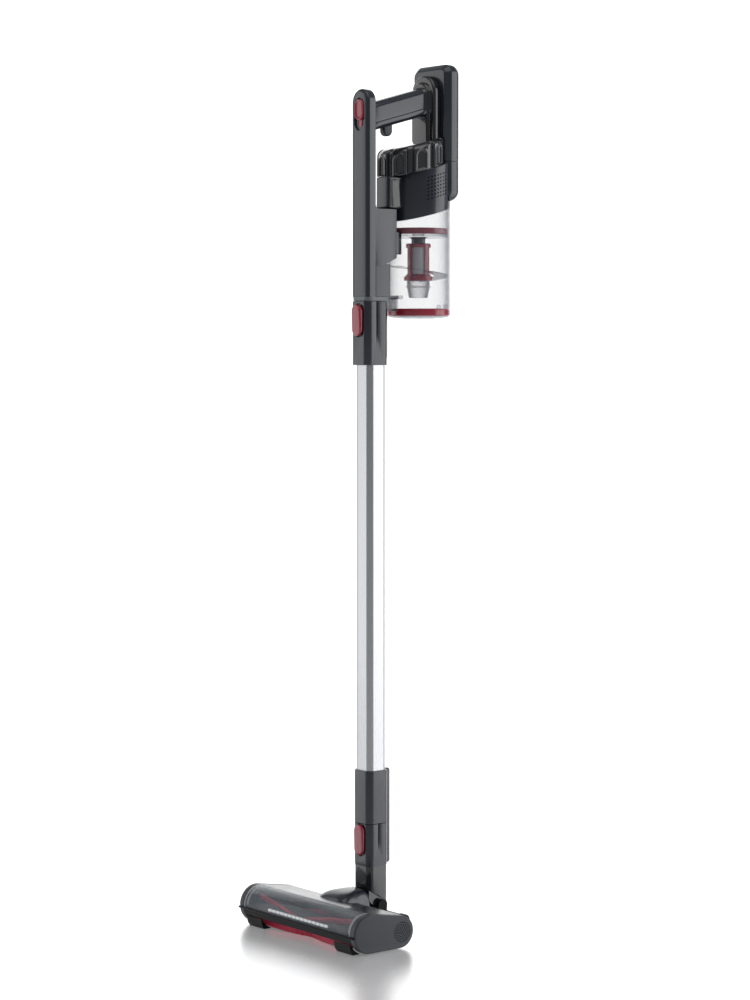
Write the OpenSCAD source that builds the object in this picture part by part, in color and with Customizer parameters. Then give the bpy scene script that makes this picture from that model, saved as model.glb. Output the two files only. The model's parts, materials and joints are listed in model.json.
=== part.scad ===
// Cordless stick vacuum: floor head, jointed neck, wand, and a handheld unit with battery and dust bin.
// The frame: X across the floor head, -Y to the vacuum's front, +Z up, the floor at Z = 0.
// The modules are drawn around the wand's centre line and moved by frame_y, so the origin is under
// the middle of the whole vacuum.

/* [Floor head] */
// Overall width of the floor head
head_w = 250; // [210:1:300]
// Distance from the wand's centre line forward to the front lobe's centre
front_lobe_reach = 102.5; // [98:0.5:120]
// Radius of the front lobe, over the brush roll
front_lobe_r = 25.6; // [24:0.1:31]
// Distance back from the front lobe's centre to the rear lobe's centre
lobe_pitch = 52; // [50:0.5:54]
// Radius of the rear lobe, over the brush motor
rear_lobe_r = 21.2; // [19.5:0.1:23]
// Height of the end caps above the floor
cap_lift = 1.5; // [1:0.1:3]
// Depth of each end cap along X
cap_depth = 9; // [9:0.5:12]
// Wall thickness of the floor head's shells
head_wall = 2; // [1.6:0.1:2.4]
// Thickness of the two upright side plates of the chassis
side_plate_t = 4; // [3:0.5:5]
// How far the bumper stands out of the front lobe
bumper_out = 2.2; // [1:0.1:4]
// Length of each black skid along X
skid_len = 33; // [25:1:40]

/* [Brush] */
// Radius of the brush roll over its bristles
bristle_r = 21.3; // [19:0.1:22]
// Radius of the brush roll's core
core_r = 14; // [11:0.5:16]
// Wall thickness of the brush roll's core
core_wall = 2.5; // [2:0.1:4]
// Gap from the lowest bristle tips to the floor
bristle_lift = 0.2; // [0.1:0.1:1]
// Turn of each bristle row between the middle of the roll and its end, in degrees
bristle_twist = 60; // [40:1:150]
// Radius of the brush roll's steel shaft
brush_shaft_r = 3; // [2:0.1:4]
// Outer radius of the brush bearings
bearing_r = 7; // [6:0.1:9]
// Radius of the driven pulley on the brush roll
brush_pulley_r = 10; // [8:0.1:12]
// Radius of the driving pulley on the brush motor
motor_pulley_r = 5; // [4:0.1:6]
// Thickness of the drive belt
belt_t = 1.2; // [0.8:0.1:1.5]
// Radius of the brush motor
brush_motor_r = 14; // [11:0.5:16]
// Length of the brush motor
brush_motor_len = 60; // [40:1:70]

/* [Neck] */
// Width and depth of the neck, which is a square column with round corners
neck_w = 36; // [34:0.5:40]
// Corner radius of the neck and of the sockets
neck_corner = 9; // [7:0.5:10]
// Height at which the oblique swivel seam crosses the wand's centre line
seam_z = 44.2; // [43:0.1:46]
// Fall of the swivel seam towards the rear, in degrees
seam_fall = 31.3; // [28:0.1:33]
// Height of the tilt axis above the floor
tilt_z = 34; // [33:0.1:35]
// Distance of the tilt axis behind the wand's centre line
tilt_y = 1; // [0:0.1:3]
// Radius of the fork's eyes at the tilt axis
eye_r = 7.4; // [6:0.1:7.6]
// Radius of the tilt pins
tilt_pin_r = 3; // [2:0.1:4]
// Thickness of each fork arm
fork_t = 6; // [4:0.5:8]
// Radius of the round spigot that the neck swivels on
swivel_r = 13; // [11:0.1:14]
// Height of the top of the neck
neck_top = 143; // [130:1:170]
// Width of the rear rail on the neck and the lower fitting
rail_w = 14; // [10:0.5:18]
// Height at which the rear rail starts
rail_bottom = 88; // [80:1:100]
// How far the rear rail stands out behind the neck
rail_out = 11; // [8:0.5:14]

/* [Rear wheels] */
// Radius of the rear wheels
wheel_r = 8; // [7:0.1:9]
// Width of each rear wheel
wheel_w = 10; // [6:0.5:12]
// Distance of the wheel axle behind the wand's centre line
wheel_y = 38; // [34:0.5:44]
// Radius of the wheel axle
axle_r = 2; // [1.5:0.1:3]

/* [Wand] */
// Width of the tube
tube_w = 32; // [28:0.5:33]
// Depth of the tube
tube_d = 31; // [28:0.5:33]
// Corner radius of the tube
tube_corner = 8; // [6:0.5:10]
// Wall thickness of the tube
tube_wall = 1.4; // [1:0.1:2]
// Bare length of the tube between the two fittings
tube_bare = 543.5; // [300:0.5:700]
// Height of the lower fitting above the neck
fitting_h = 72; // [60:1:90]
// Depth to which the tube enters each fitting
tube_grip = 42; // [30:1:50]
// Height of the upper socket
socket_h = 85; // [80:1:100]
// How far the upper socket's front stands ahead of the neck's front
socket_front = 3; // [0:0.5:6]
// Width and depth of the hollow spigots that join the wand
spigot_w = 26.6; // [24:0.1:27]
// Depth to which each spigot enters its socket
spigot_depth = 40; // [30:1:42]
// Width and depth of the air channel
airway_w = 21; // [18:0.5:22]

/* [Red buttons] */
// Width of the two release buttons
button_w = 18.6; // [14:0.1:20]
// Height of the two release buttons
button_h = 42; // [34:0.5:44]
// How far the release buttons stand out
button_out = 5; // [3:0.1:7]
// Travel of the release buttons
button_travel = 2; // [1:0.1:2.4]
// Width of the power switch
switch_w = 19; // [14:0.5:20]
// Height of the power switch
switch_h = 28; // [22:0.5:30]
// Travel of the power switch
switch_travel = 12; // [8:0.5:14]

/* [Handheld frame] */
// Width of the spine
spine_w = 35; // [30:0.5:40]
// Depth of the spine
spine_d = 15; // [13:0.5:18]
// Distance of the spine's front face ahead of the wand's centre line
spine_front = 20; // [18:0.5:22]
// Height of the spine's body above its collar
spine_h = 274.3; // [265:0.1:320]
// Corner radius of the spine's front
spine_corner = 5.5; // [4:0.5:7]
// Height of the collar at the spine's foot
collar_h = 5.3; // [4:0.1:8]
// Rake of the grip, the housing's edges and the crown, in degrees
rake = 15.5; // [10:0.5:18]
// Width of the grip
grip_w = 29; // [24:0.5:34]
// Height of the grip across its length
grip_h = 36; // [30:0.5:38]
// Corner radius of the grip
grip_corner = 8; // [6:0.5:10]
// Height of the grip's lower shell
grip_lower_h = 10; // [9:0.5:14]
// Height of the grip's centre line above the collar where it leaves the spine
grip_rise = 237.4; // [233:0.1:242]
// Wall thickness of the handheld's shells
shell_wall = 2.5; // [2:0.1:3]
// Width of the trigger
trigger_w = 10; // [8:0.5:14]
// Length of the trigger along the grip
trigger_len = 15; // [12:0.5:20]
// Travel of the trigger
trigger_travel = 5; // [3:0.5:6]
// Half the width of the battery dock
dock_half_w = 24; // [20:0.5:28]
// Height of the dock's arch above the collar
dock_rise = 299; // [285:1:306]
// Distance of the dock's rear face behind the wand's centre line
dock_back = 101.4; // [98:0.1:108]
// Thickness of the dock
dock_t = 11.4; // [9:0.1:14]

/* [Motor housing] */
// Radius of the motor housing and of the dust bin
bin_r = 43.4; // [40:0.1:46]
// Distance of the dust bin's axis behind the wand's centre line
bin_y = 83; // [80:0.5:88]
// Height of the housing's lower edge above the collar, on the bin's axis
housing_rise = 113.2; // [105:0.1:120]
// Distance of the crown's axis behind the wand's centre line
crown_y = 69; // [66:0.5:72]
// Height of the crown's foot above the collar, on the crown's axis
crown_rise = 171.8; // [165:0.1:176]
// Height of the crown
crown_h = 35.8; // [30:0.1:40]
// Number of pods around the crown
pod_count = 9; // [7:1:10]
// Radius of each pod
pod_r = 8.6; // [7:0.1:9]
// Outer radius of the crown over its pods
crown_r = 43.5; // [40:0.1:46]
// Radius of the suction motor
motor_r = 24; // [20:0.5:26]
// Height of the suction motor
motor_h = 32; // [26:0.5:34]
// Number of impeller blades
blade_count = 7; // [5:1:9]
// Radius of the exhaust holes
vent_r = 1.2; // [0.8:0.1:1.5]
// Spacing of the exhaust holes
vent_pitch = 4.75; // [4:0.05:5]
// Number of exhaust holes each way
vent_count = 7; // [5:1:7]

/* [Dust bin] */
// Wall thickness of the dust bin
bin_wall = 2.2; // [1.5:0.1:3]
// Height of the bin's foot below the collar's top
bin_drop = 14.7; // [12:0.1:18]
// Height of the red lid ring
lid_ring_h = 9.5; // [8:0.1:12]
// Height of the clear lid below the ring
lid_dish_h = 4; // [3:0.1:6]
// Radius of the cyclone frame
cyclone_r = 17; // [14:0.5:20]
// Height of the cyclone frame
cyclone_h = 50; // [40:1:54]
// Radius of the lid's hinge pin
lid_pin_r = 1.5; // [1:0.1:2]

/* [Battery] */
// Width of the battery
battery_w = 76; // [70:0.5:90]
// Depth of the battery
battery_d = 27.1; // [25:0.1:34]
// Height of the battery
battery_h = 183; // [176:1:210]
// Height of the battery's foot above the collar
battery_rise = 130; // [128:0.5:140]
// Height of the battery's base shell
base_h = 53; // [45:1:60]
// Corner radius of the battery, seen from the front
battery_corner = 13; // [8:0.5:16]
// Bevel around the battery's front face
battery_bevel = 7; // [4:0.5:8]
// Radius of the round battery cells
cell_r = 9; // [8:0.1:9.2]
// Length of the battery cells
cell_len = 65; // [60:0.5:66]
// Radius of the charging jack's bore
jack_r = 2.75; // [2:0.05:3]
// Height of the charging jack above the battery's foot
jack_rise = 22; // [19:0.5:24]

/* [Fits] */
// Gap between pieces that slide or swing past each other
move_gap = 0.3; // [0.3:0.05:0.5]
// Radial clearance between a shaft and its bore
run_gap = 0.05; // [0.02:0.01:0.1]
// Clearance of a tube, spigot or button in its seat
seat_gap = 0.3; // [0.2:0.05:0.5]

/* [Hidden] */
$fn = 64;

// ---- derived places, in the wand's own axes ----
far = 400;
// straight stretches between two circles end this far inside them
tuck = 0.02;
front_y = -front_lobe_reach;
front_z = cap_lift + front_lobe_r;
rear_y = front_y + lobe_pitch;
rear_z = cap_lift + rear_lobe_r;
lobe_fall = atan2(rear_z - front_z, lobe_pitch);
tangent = acos((front_lobe_r - rear_lobe_r) / norm([lobe_pitch, rear_z - front_z]));
window_rear = 74;
window_front = 184;
mouth_front = 208;
mouth_rear = 302;
inner_half = head_w / 2 - cap_depth;
plate_in = inner_half - side_plate_t;
core_half = plate_in - 0.5;
brush_z = bristle_lift + bristle_r;
sweep_r = bristle_r + move_gap;
pulley_x = inner_half + 1;
pulley_w = 4.5;
tail_z0 = 6.5;
tail_z1 = 13.5;
tail_half = neck_w / 2 + 1.2 + fork_t;
fork_x = neck_w / 2 + 1.2;
elbow_half = fork_x - 0.6;
swivel_h = 9;
shroud_back = -(neck_w / 2 + 1.5);
wheel_x = tail_half - 8;

fitting_z = neck_top + move_gap;
fitting_top = neck_top + fitting_h;
tube_z0 = fitting_top - tube_grip;
socket_z = fitting_top + tube_bare;
tube_z1 = socket_z + tube_grip;
socket_top = socket_z + socket_h;
collar_z = socket_top + move_gap;
hand_z = collar_z + collar_h;
spine_back = spine_d - spine_front;
spine_top = hand_z + spine_h;
neck_button_z = neck_top - 22;
wand_button_z = socket_top - 25.5;
wand_face = neck_w / 2 + socket_front;
switch_z = spine_top - 27.4;
switch_depth = 3;

duct_half = spine_w / 2;
duct_top = hand_z + 117;
duct_back = 31;
grip_z = hand_z + grip_rise;
grip_cut = grip_h / 2 - grip_lower_h;
dock_front = dock_back - dock_t;
dock_arch_z = hand_z + dock_rise - dock_half_w;
collar_front = dock_front - 8.5;
housing_z = hand_z + housing_rise;
crown_z = hand_z + crown_rise;
crown_top = crown_z + crown_h;
battery_front = dock_back + move_gap;
battery_back = battery_front + battery_d;
battery_z = hand_z + battery_rise;
battery_seam = battery_z + base_h;
battery_mid = battery_front + battery_d / 2 + 0.5;
battery_wall = 2;
jack_z = battery_z + jack_rise;
jack_body_r = 4.5;
jack_len = 11;
jack_depth = 10;
cell_foot = jack_z + jack_body_r + 1.5;
motor_room = 3.9;
motor_y = bin_y - (bin_r - shell_wall - motor_r - motor_room);
motor_z = hand_z + 127;
vent_mid_y = 81;
vent_mid_z = hand_z + 149;
vent_field = vent_pitch * vent_count + 2;

bin_z = hand_z - bin_drop;
lid_top = bin_z - move_gap;
lid_ring_z = lid_top - lid_ring_h;
lid_pin_y = bin_y + bin_r - 0.9;
lid_pin_z = lid_top - 3;
port_half = 11;
port_z0 = hand_z + 60;
port_z1 = hand_z + 84;
cyclone_z = hand_z + 23;
cyclone_top = cyclone_z + cyclone_h;
plate_z = hand_z + 81;
ring_z = hand_z + 85;
latch_z0 = lid_top - 4;
latch_z1 = bin_z + 17;
latch_pin_y = bin_y - bin_r - 2.8;
latch_pin_z = latch_z1 - 2.4;
trigger_y = 26.5;
trigger_tip = hand_z + 214.1;
trigger_top = hand_z + 237;
spring_h = trigger_travel + 7;
spring_r = 3;
wire_r = 0.5;
spring_turns = 5;

frame_y = (front_lobe_reach + front_lobe_r + bumper_out - battery_back) / 2;

// colours
anthracite = [0.30, 0.32, 0.36];
dark = [0.14, 0.15, 0.17];
black = [0.06, 0.06, 0.07];
red = [0.72, 0.08, 0.16];
steel = [0.75, 0.76, 0.78];
silver = [0.86, 0.87, 0.89];
clear = [0.82, 0.86, 0.90, 0.4];

// ---- shared shapes ----
module in_frame() translate([0, frame_y, 0]) children();

// a flat outline in Y and Z, made into a slab of width w across X
module side_slab(w) rotate([90, 0, 90]) linear_extrude(w, center = true) children();

// the same slab between two places along X
module side_slab_from(x0, x1) translate([x0, 0, 0]) rotate([90, 0, 90]) linear_extrude(x1 - x0) children();

module both_sides() {
    children();
    mirror([1, 0, 0]) children();
}

module block(x0, x1, y0, y1, z0, z1) translate([x0, y0, z0]) cube([x1 - x0, y1 - y0, z1 - z0]);

module rounded_square(w, d, r) {
    square([w - 2 * r, d], center = true);
    square([w, d - 2 * r], center = true);
    for (x = [-1, 1], y = [-1, 1]) translate([x * (w / 2 - r), y * (d / 2 - r)]) circle(r);
}

module column(w, d, r, z0, z1, y = 0)
    translate([0, y, z0]) linear_extrude(z1 - z0) rounded_square(w, d, r);

module rod_x(r, x0, x1, y, z) translate([x0, y, z]) rotate([0, 90, 0]) cylinder(r = r, h = x1 - x0);

module drum(r, z0, z1, y) translate([0, y, z0]) cylinder(r = r, h = z1 - z0);

module tube_ring(r_out, r_in, z0, z1, y) difference() {
    drum(r_out, z0, z1, y);
    drum(r_in, z0 - 1, z1 + 1, y);
}

// an upright pill that stands out of a front face; it reaches from y0 back to y1
module front_pill(w, h, z, y0, y1) translate([0, y1, z]) rotate([90, 0, 0]) linear_extrude(y1 - y0) {
    square([w, h - w], center = true);
    for (s = [-1, 1]) translate([0, s * (h - w) / 2]) circle(w / 2);
}

// a point at the angle a on a circle, in Y and Z
function around(y, z, r, a) = [y + r * cos(a), z + r * sin(a)];

// the height of a raked plane that is at z where Y is y0
function raked(z, y0, y) = z + (y - y0) * tan(rake);

// everything between two raked planes
module raked_slab(low_z, low_y, high_z, high_y, y0 = -50, y1 = 200) side_slab(far) polygon([
    [y0, raked(low_z, low_y, y0)], [y1, raked(low_z, low_y, y1)],
    [y1, raked(high_z, high_y, y1)], [y0, raked(high_z, high_y, y0)]]);

// ---- floor head ----
// the head's outline, seen from its side, with all its walls moved in by inset
module head_outline(inset) {
    rf = front_lobe_r - inset;
    rr = rear_lobe_r - inset;
    translate([front_y, front_z]) circle(rf);
    translate([rear_y, rear_z]) circle(rr);
    pf = rf - tuck;
    pr = rr - tuck;
    polygon([
        around(front_y, front_z, pf, lobe_fall + tangent),
        around(rear_y, rear_z, pr, lobe_fall + tangent),
        around(rear_y, rear_z, pr, lobe_fall - tangent),
        around(front_y, front_z, pf, lobe_fall - tangent)]);
}

// the same outline as one solid between two places along X
module head_prism(x0, x1, inset) {
    rf = front_lobe_r - inset;
    rr = rear_lobe_r - inset;
    pf = rf - tuck;
    pr = rr - tuck;
    rod_x(rf, x0, x1, front_y, front_z);
    rod_x(rr, x0, x1, rear_y, rear_z);
    side_slab_from(x0, x1) polygon([around(front_y, front_z, pf, lobe_fall + tangent),
        around(rear_y, rear_z, pr, lobe_fall + tangent), around(rear_y, rear_z, pr, lobe_fall - tangent),
        around(front_y, front_z, pf, lobe_fall - tangent)]);
}

module head_ring() difference() {
    head_outline(0);
    head_outline(head_wall);
}

// a wedge from the front lobe's centre, between two angles
module front_wedge(a0, a1) polygon([[front_y, front_z], around(front_y, front_z, 90, a0),
    around(front_y, front_z, 90, (a0 + a1) / 2), around(front_y, front_z, 90, a1)]);

module cover_zone() polygon([[front_y, front_z], around(front_y, front_z, 90, window_rear),
    [rear_y + 60, 110], [rear_y + 60, rear_z], [rear_y, rear_z]]);

module brush_sweep() translate([front_y, brush_z]) circle(sweep_r);

module chassis_outline() difference() {
    head_ring();
    front_wedge(window_rear, window_front);
    cover_zone();
    front_wedge(mouth_front, mouth_rear);
    brush_sweep();
}

module partition_outline() difference() {
    intersection() {
        head_outline(head_wall);
        translate([front_y, front_z]) circle(front_lobe_r);
        front_wedge(-62, 62);
    }
    translate([front_y, front_z]) circle(front_lobe_r - head_wall);
    brush_sweep();
}

module fork_outline() {
    translate([tilt_y, tilt_z]) circle(eye_r);
    polygon([[tilt_y - 10, tail_z1 - 1], [tilt_y + eye_r - 2.4, tail_z1 - 1],
        [tilt_y + eye_r, tilt_z], [tilt_y - eye_r, tilt_z]]);
}

module head_chassis() color(black) in_frame() difference() {
    union() {
        side_slab(2 * inner_half) chassis_outline();
        side_slab(2 * plate_in) partition_outline();
        both_sides() side_slab_from(plate_in, inner_half) head_outline(head_wall);
        difference() {
            block(-tail_half, tail_half, rear_y + 10, wheel_y - wheel_r - 2.5, tail_z0, tail_z1);
            side_slab(far) head_outline(head_wall / 2);
        }
        block(-wheel_x + 0.6, wheel_x - 0.6, wheel_y - wheel_r - 3, wheel_y + 5, wheel_r - 4.5, tail_z1);
        both_sides() side_slab_from(fork_x, fork_x + fork_t) fork_outline();
    }
    both_sides() rod_x(bearing_r, plate_in - 1, inner_half + 1, front_y, brush_z);
    rod_x(motor_pulley_r + 1, 0, inner_half + 1, rear_y, rear_z);
    both_sides() rod_x(tilt_pin_r, fork_x - 1, fork_x + fork_t + 1, tilt_y, tilt_z);
    rod_x(axle_r, -far, far, wheel_y, wheel_r);
    block(-22, 22, front_y + 10, rear_y - 10, front_z - 10, front_z + 10);
    both_sides() translate([tail_half - 4.2, shroud_back - 5, 0]) cylinder(r = 1.6, h = tail_z1 + 1);
    both_sides() translate([tail_half - 4.2, shroud_back - 5, 0]) cylinder(r = 3.2, h = tail_z0 + 2);
}

module head_cover() color(anthracite) in_frame() difference() {
    intersection() {
        head_prism(-inner_half, inner_half, 0);
        side_slab(far) cover_zone();
    }
    head_prism(-far, far, head_wall);
    translate([0, rear_y, rear_z]) cylinder(r = 12, h = 60);
}

module brush_window() color(clear) in_frame() side_slab(2 * inner_half) intersection() {
    difference() {
        translate([front_y, front_z]) circle(front_lobe_r);
        translate([front_y, front_z]) circle(front_lobe_r - head_wall);
    }
    front_wedge(window_rear, window_front);
}

module front_bumper() color(black) in_frame() difference() {
    block(-head_w / 2, head_w / 2, front_y - front_lobe_r - bumper_out, front_y - front_lobe_r + 6,
        front_z - 4, front_z - 1);
    side_slab(far) head_outline(0);
}

module light_strip() color("white") in_frame() side_slab(0.52 * head_w) intersection() {
    difference() {
        translate([front_y, front_z]) circle(front_lobe_r - head_wall - 0.1);
        translate([front_y, front_z]) circle(front_lobe_r - head_wall - 1.3);
    }
    front_wedge(window_front - 17, window_front - 2);
}

module end_cap() difference() {
    head_prism(inner_half, head_w / 2, 0);
    head_prism(inner_half - 1, head_w / 2 - 2.5, 2.5);
}

module left_end_cap() color(anthracite) in_frame() mirror([1, 0, 0]) end_cap();

// the right cap covers the belt, and has the brush motor's vents
module right_end_cap() color(anthracite) in_frame() difference() {
    end_cap();
    for (ring = [1:3], k = [0:ring * 6 - 1])
        rod_x(0.9, head_w / 2 - 4, head_w / 2 + 1, rear_y + 2 + 3.8 * ring * cos(60 * k / ring),
            rear_z + 3.8 * ring * sin(60 * k / ring));
}

// each skid closes the mouth's front at one end, and its flat sole stands on the floor
module front_skids() color(black) in_frame() both_sides()
    side_slab_from(plate_in - skid_len, plate_in - move_gap)
    difference() {
        polygon([[front_y - front_lobe_r + 2.6, 14], [front_y - front_lobe_r + 4, 5], [front_y - 18, 0],
            [front_y - 7.5, 0], [front_y - 7.5, 14]]);
        brush_sweep();
        head_outline(0);
    }

module shroud_outline() difference() {
    polygon([[rear_y - 26, rear_z + 15], [rear_y - 24, rear_z + 27], [rear_y - 17, rear_z + 32.5],
        [rear_y + 6, rear_z + 34.5], [shroud_back - 3, rear_z + 34], [shroud_back, rear_z + 31],
        [shroud_back, tail_z1], [shroud_back - 9, tail_z1], [shroud_back - 9, rear_z]]);
    head_outline(0);
}

// the hump over the rear lobe that leads the air to the neck
module neck_shroud() color(anthracite) in_frame() difference() {
    intersection() {
        side_slab(2 * tail_half + 12) shroud_outline();
        linear_extrude(100) polygon([[-tail_half - 6, rear_y - 26], [-tail_half - 6, rear_y - 5],
            [-tail_half, rear_y + 14], [-tail_half, 0], [tail_half, 0], [tail_half, rear_y + 14],
            [tail_half + 6, rear_y - 5], [tail_half + 6, rear_y - 26]]);
    }
    translate([0, rear_y, rear_z]) cylinder(r = 12, h = 29);
    translate([0, rear_y, rear_z + 24.5]) rotate([-90, 0, 0]) cylinder(r = 6, h = 60);
    block(-fork_x + 2, fork_x - 2, shroud_back - 10, shroud_back + 1, 0, rear_z + 10);
    both_sides() translate([tail_half - 4.2, shroud_back - 5, 0]) cylinder(r = 1.5, h = tail_z1 + 10);
}

module brush_bearings() color(steel) in_frame() both_sides() difference() {
    rod_x(bearing_r, plate_in, inner_half, front_y, brush_z);
    rod_x(brush_shaft_r + run_gap, plate_in - 1, inner_half + 1, front_y, brush_z);
}

module brush_motor() color(steel) in_frame() difference() {
    rod_x(brush_motor_r, plate_in - brush_motor_len, plate_in - 0.2, rear_y, rear_z);
    rod_x(2 + run_gap, plate_in - 20, plate_in + 1, rear_y, rear_z);
}

// what a flat belt around both pulleys encloses, out to the given gap from them
module belt_loop(gap, x0, x1) {
    ra = brush_pulley_r + gap;
    rb = motor_pulley_r + gap;
    fall = atan2(rear_z - brush_z, lobe_pitch);
    open = acos((ra - rb) / norm([lobe_pitch, rear_z - brush_z]));
    pa = ra - tuck;
    pb = rb - tuck;
    rod_x(ra, x0, x1, front_y, brush_z);
    rod_x(rb, x0, x1, rear_y, rear_z);
    side_slab_from(x0, x1) polygon([
        around(front_y, brush_z, pa, fall + open), around(rear_y, rear_z, pb, fall + open),
        around(rear_y, rear_z, pb, fall - open), around(front_y, brush_z, pa, fall - open)]);
}

module drive_belt() color(black) in_frame() difference() {
    belt_loop(run_gap + belt_t, pulley_x, pulley_x + pulley_w);
    belt_loop(run_gap, pulley_x - 1, pulley_x + pulley_w + 1);
}

module rear_axle() color(steel) in_frame()
    rod_x(axle_r, -wheel_x - wheel_w - 1.5, wheel_x + wheel_w + 1.5, wheel_y, wheel_r);

module tilt_pins() color(steel) in_frame() both_sides()
    rod_x(tilt_pin_r, elbow_half - 5, fork_x + fork_t, tilt_y, tilt_z);

module head_screws() color(steel) in_frame() both_sides() translate([tail_half - 4.2, shroud_back - 5, 0]) {
    translate([0, 0, tail_z0]) cylinder(r = 3, h = 2);
    translate([0, 0, tail_z0 + 1]) cylinder(r = 1.45, h = tail_z1 - tail_z0 + 6);
}

// ---- brush roll ----
module brush_core() color(dark) in_frame() difference() {
    rod_x(core_r, -core_half, core_half, front_y, brush_z);
    rod_x(core_r - core_wall, -core_half + 6, core_half - 6, front_y, brush_z);
    rod_x(brush_shaft_r, -far, far, front_y, brush_z);
}

// three bristle rows from each end, which twist and meet in the middle as a V
module brush_bristles() color(red) in_frame()
    both_sides() translate([0.5, front_y, brush_z]) rotate([0, 90, 0])
    linear_extrude(core_half - 4, twist = bristle_twist, slices = 14, segments = 4) for (a = [0, 120, 240]) rotate(a)
        translate([core_r + 0.1, -1]) square([bristle_r - core_r - 0.2, 2]);

module brush_shaft() color(steel) in_frame()
    rod_x(brush_shaft_r, -inner_half + 0.5, pulley_x + pulley_w, front_y, brush_z);

module brush_pulley() color(dark) in_frame() difference() {
    rod_x(brush_pulley_r, pulley_x, pulley_x + pulley_w, front_y, brush_z);
    rod_x(brush_shaft_r, -far, far, front_y, brush_z);
}

module motor_pulley() color(steel) in_frame() {
    rod_x(motor_pulley_r, pulley_x, pulley_x + pulley_w, rear_y, rear_z);
    rod_x(2, plate_in - 18, pulley_x + 1, rear_y, rear_z);
}

module rear_wheels() color(dark) in_frame() both_sides() difference() {
    rod_x(wheel_r, wheel_x, wheel_x + wheel_w, wheel_y, wheel_r);
    rod_x(axle_r + run_gap, wheel_x - 1, wheel_x + wheel_w + 1, wheel_y, wheel_r);
}

// ---- elbow and neck ----
// what is below the oblique seam, moved down from it by gap
module below_seam(gap) translate([0, 0, seam_z]) rotate([-seam_fall, 0, 0])
    translate([-60, -100, -120 - gap]) cube([120, 200, 120]);

module on_swivel_axis() translate([0, 0, seam_z]) rotate([-seam_fall, 0, 0]) children();

module elbow() color(dark) in_frame() difference() {
    union() {
        intersection() {
            side_slab(2 * elbow_half) {
                translate([tilt_y, tilt_z]) circle(eye_r + 0.6);
                polygon([[-neck_w / 2, seam_z + 20], [-neck_w / 2, seam_z - 3.2], [tilt_y - 9, tilt_z - 3],
                    [tilt_y, tilt_z - 8], [tilt_y + 8, tilt_z], [tilt_y + 8, seam_z + 20]]);
            }
            below_seam(0.4);
        }
        on_swivel_axis() translate([0, 0, -1]) cylinder(r = swivel_r, h = swivel_h + 1);
    }
    on_swivel_axis() translate([0, 0, -9]) cylinder(r = swivel_r - 3, h = 60);
    translate([0, -neck_w / 2 - 1, seam_z + 3]) rotate([-90, 0, 0]) cylinder(r = 5.5, h = neck_w / 2);
    both_sides() rod_x(tilt_pin_r + run_gap, elbow_half - 5.5, elbow_half + 1, tilt_y, tilt_z);
}

module rail(z0, z1) column(rail_w, rail_out + 4, 4, z0, z1, neck_w / 2 + (rail_out - 4) / 2);

module side_slots(z0, z1, y) both_sides() block(neck_w / 2 - 1.4, neck_w / 2 + 1, y - 1.3, y + 1.3, z0, z1);

module neck_socket() color(anthracite) in_frame() difference() {
    union() {
        difference() {
            column(neck_w, neck_w, neck_corner, seam_z - 20, neck_top);
            below_seam(0);
        }
        rail(rail_bottom, neck_top);
    }
    on_swivel_axis() translate([0, 0, -1]) cylinder(r = swivel_r + run_gap, h = swivel_h + 1.4);
    drum(airway_w / 2, seam_z, neck_top, 0);
    column(spigot_w + 2 * seat_gap, spigot_w + 2 * seat_gap, 6, neck_top - spigot_depth - 2, neck_top + 1);
    front_pill(button_w + 2 * seat_gap, button_h + 2 * seat_gap, neck_button_z,
        -neck_w / 2 - 1, -neck_w / 2 + 3);
    side_slots(neck_top - 36, neck_top + 1, 0);
}

module neck_button() color(red) in_frame()
    front_pill(button_w, button_h, neck_button_z,
        -neck_w / 2 - button_out, -neck_w / 2 + 3 - button_travel - 0.4);

// ---- wand ----
module spigot(z0, z1) difference() {
    column(spigot_w, spigot_w, 5.7, z0, z1);
    column(airway_w, airway_w, 4, z0 - 1, z1 + 1);
}

module tube_seat(z0, z1) column(tube_w, tube_d, tube_corner, z0, z1);

module lower_fitting() color(anthracite) in_frame() {
    difference() {
        union() {
            column(neck_w, neck_w, neck_corner, fitting_z, fitting_top);
            rail(fitting_z, fitting_top);
        }
        column(airway_w, airway_w, 4, fitting_z - 1, fitting_top);
        tube_seat(tube_z0, fitting_top + 1);
        side_slots(fitting_z - 1, neck_top + 9, 0);
    }
    spigot(neck_top - spigot_depth, fitting_z);
}

module wand_tube() color(silver) in_frame() difference() {
    tube_seat(tube_z0, tube_z1);
    column(tube_w - 2 * tube_wall, tube_d - 2 * tube_wall, tube_corner - tube_wall,
        tube_z0 - 1, tube_z1 + 1);
}

module upper_socket() color(anthracite) in_frame() difference() {
    union() {
        column(neck_w, neck_w + socket_front, neck_corner, socket_z, socket_top, -socket_front / 2);
        column(rail_w, rail_out, 3, socket_z + 8, socket_top, neck_w / 2 + 1.5);
    }
    tube_seat(socket_z - 1, tube_z1);
    column(airway_w, airway_w, 4, socket_z, socket_top + 1);
    column(spigot_w + 2 * seat_gap, spigot_w + 2 * seat_gap, 6,
        socket_top - spigot_depth - 0.6, socket_top + 1);
    front_pill(button_w + 2 * seat_gap, button_h + 2 * seat_gap, wand_button_z,
        -wand_face - 1, -wand_face + 3);
    side_slots(socket_z + 27.5, socket_top + 1, -4);
}

// the flat lead that feeds the brush motor, along the tube's rear wall
module wand_cable() color(black) in_frame()
    block(-3, 3, tube_d / 2 - tube_wall - 2, tube_d / 2 - tube_wall, tube_z0 + 1, tube_z1 - 1);

module wand_button() color(red) in_frame() front_pill(button_w, button_h, wand_button_z,
    -wand_face - button_out - 0.8, -wand_face + 3 - button_travel - 0.4);

// ---- handheld ----
module handheld_collar() color(silver) in_frame() {
    difference() {
        column(spine_w + 1, spine_front + 22, neck_corner, collar_z, hand_z, 11 - spine_front / 2);
        column(airway_w, airway_w, 4, collar_z - 1, hand_z + 1);
    }
    spigot(socket_top - spigot_depth, collar_z);
}

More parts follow.
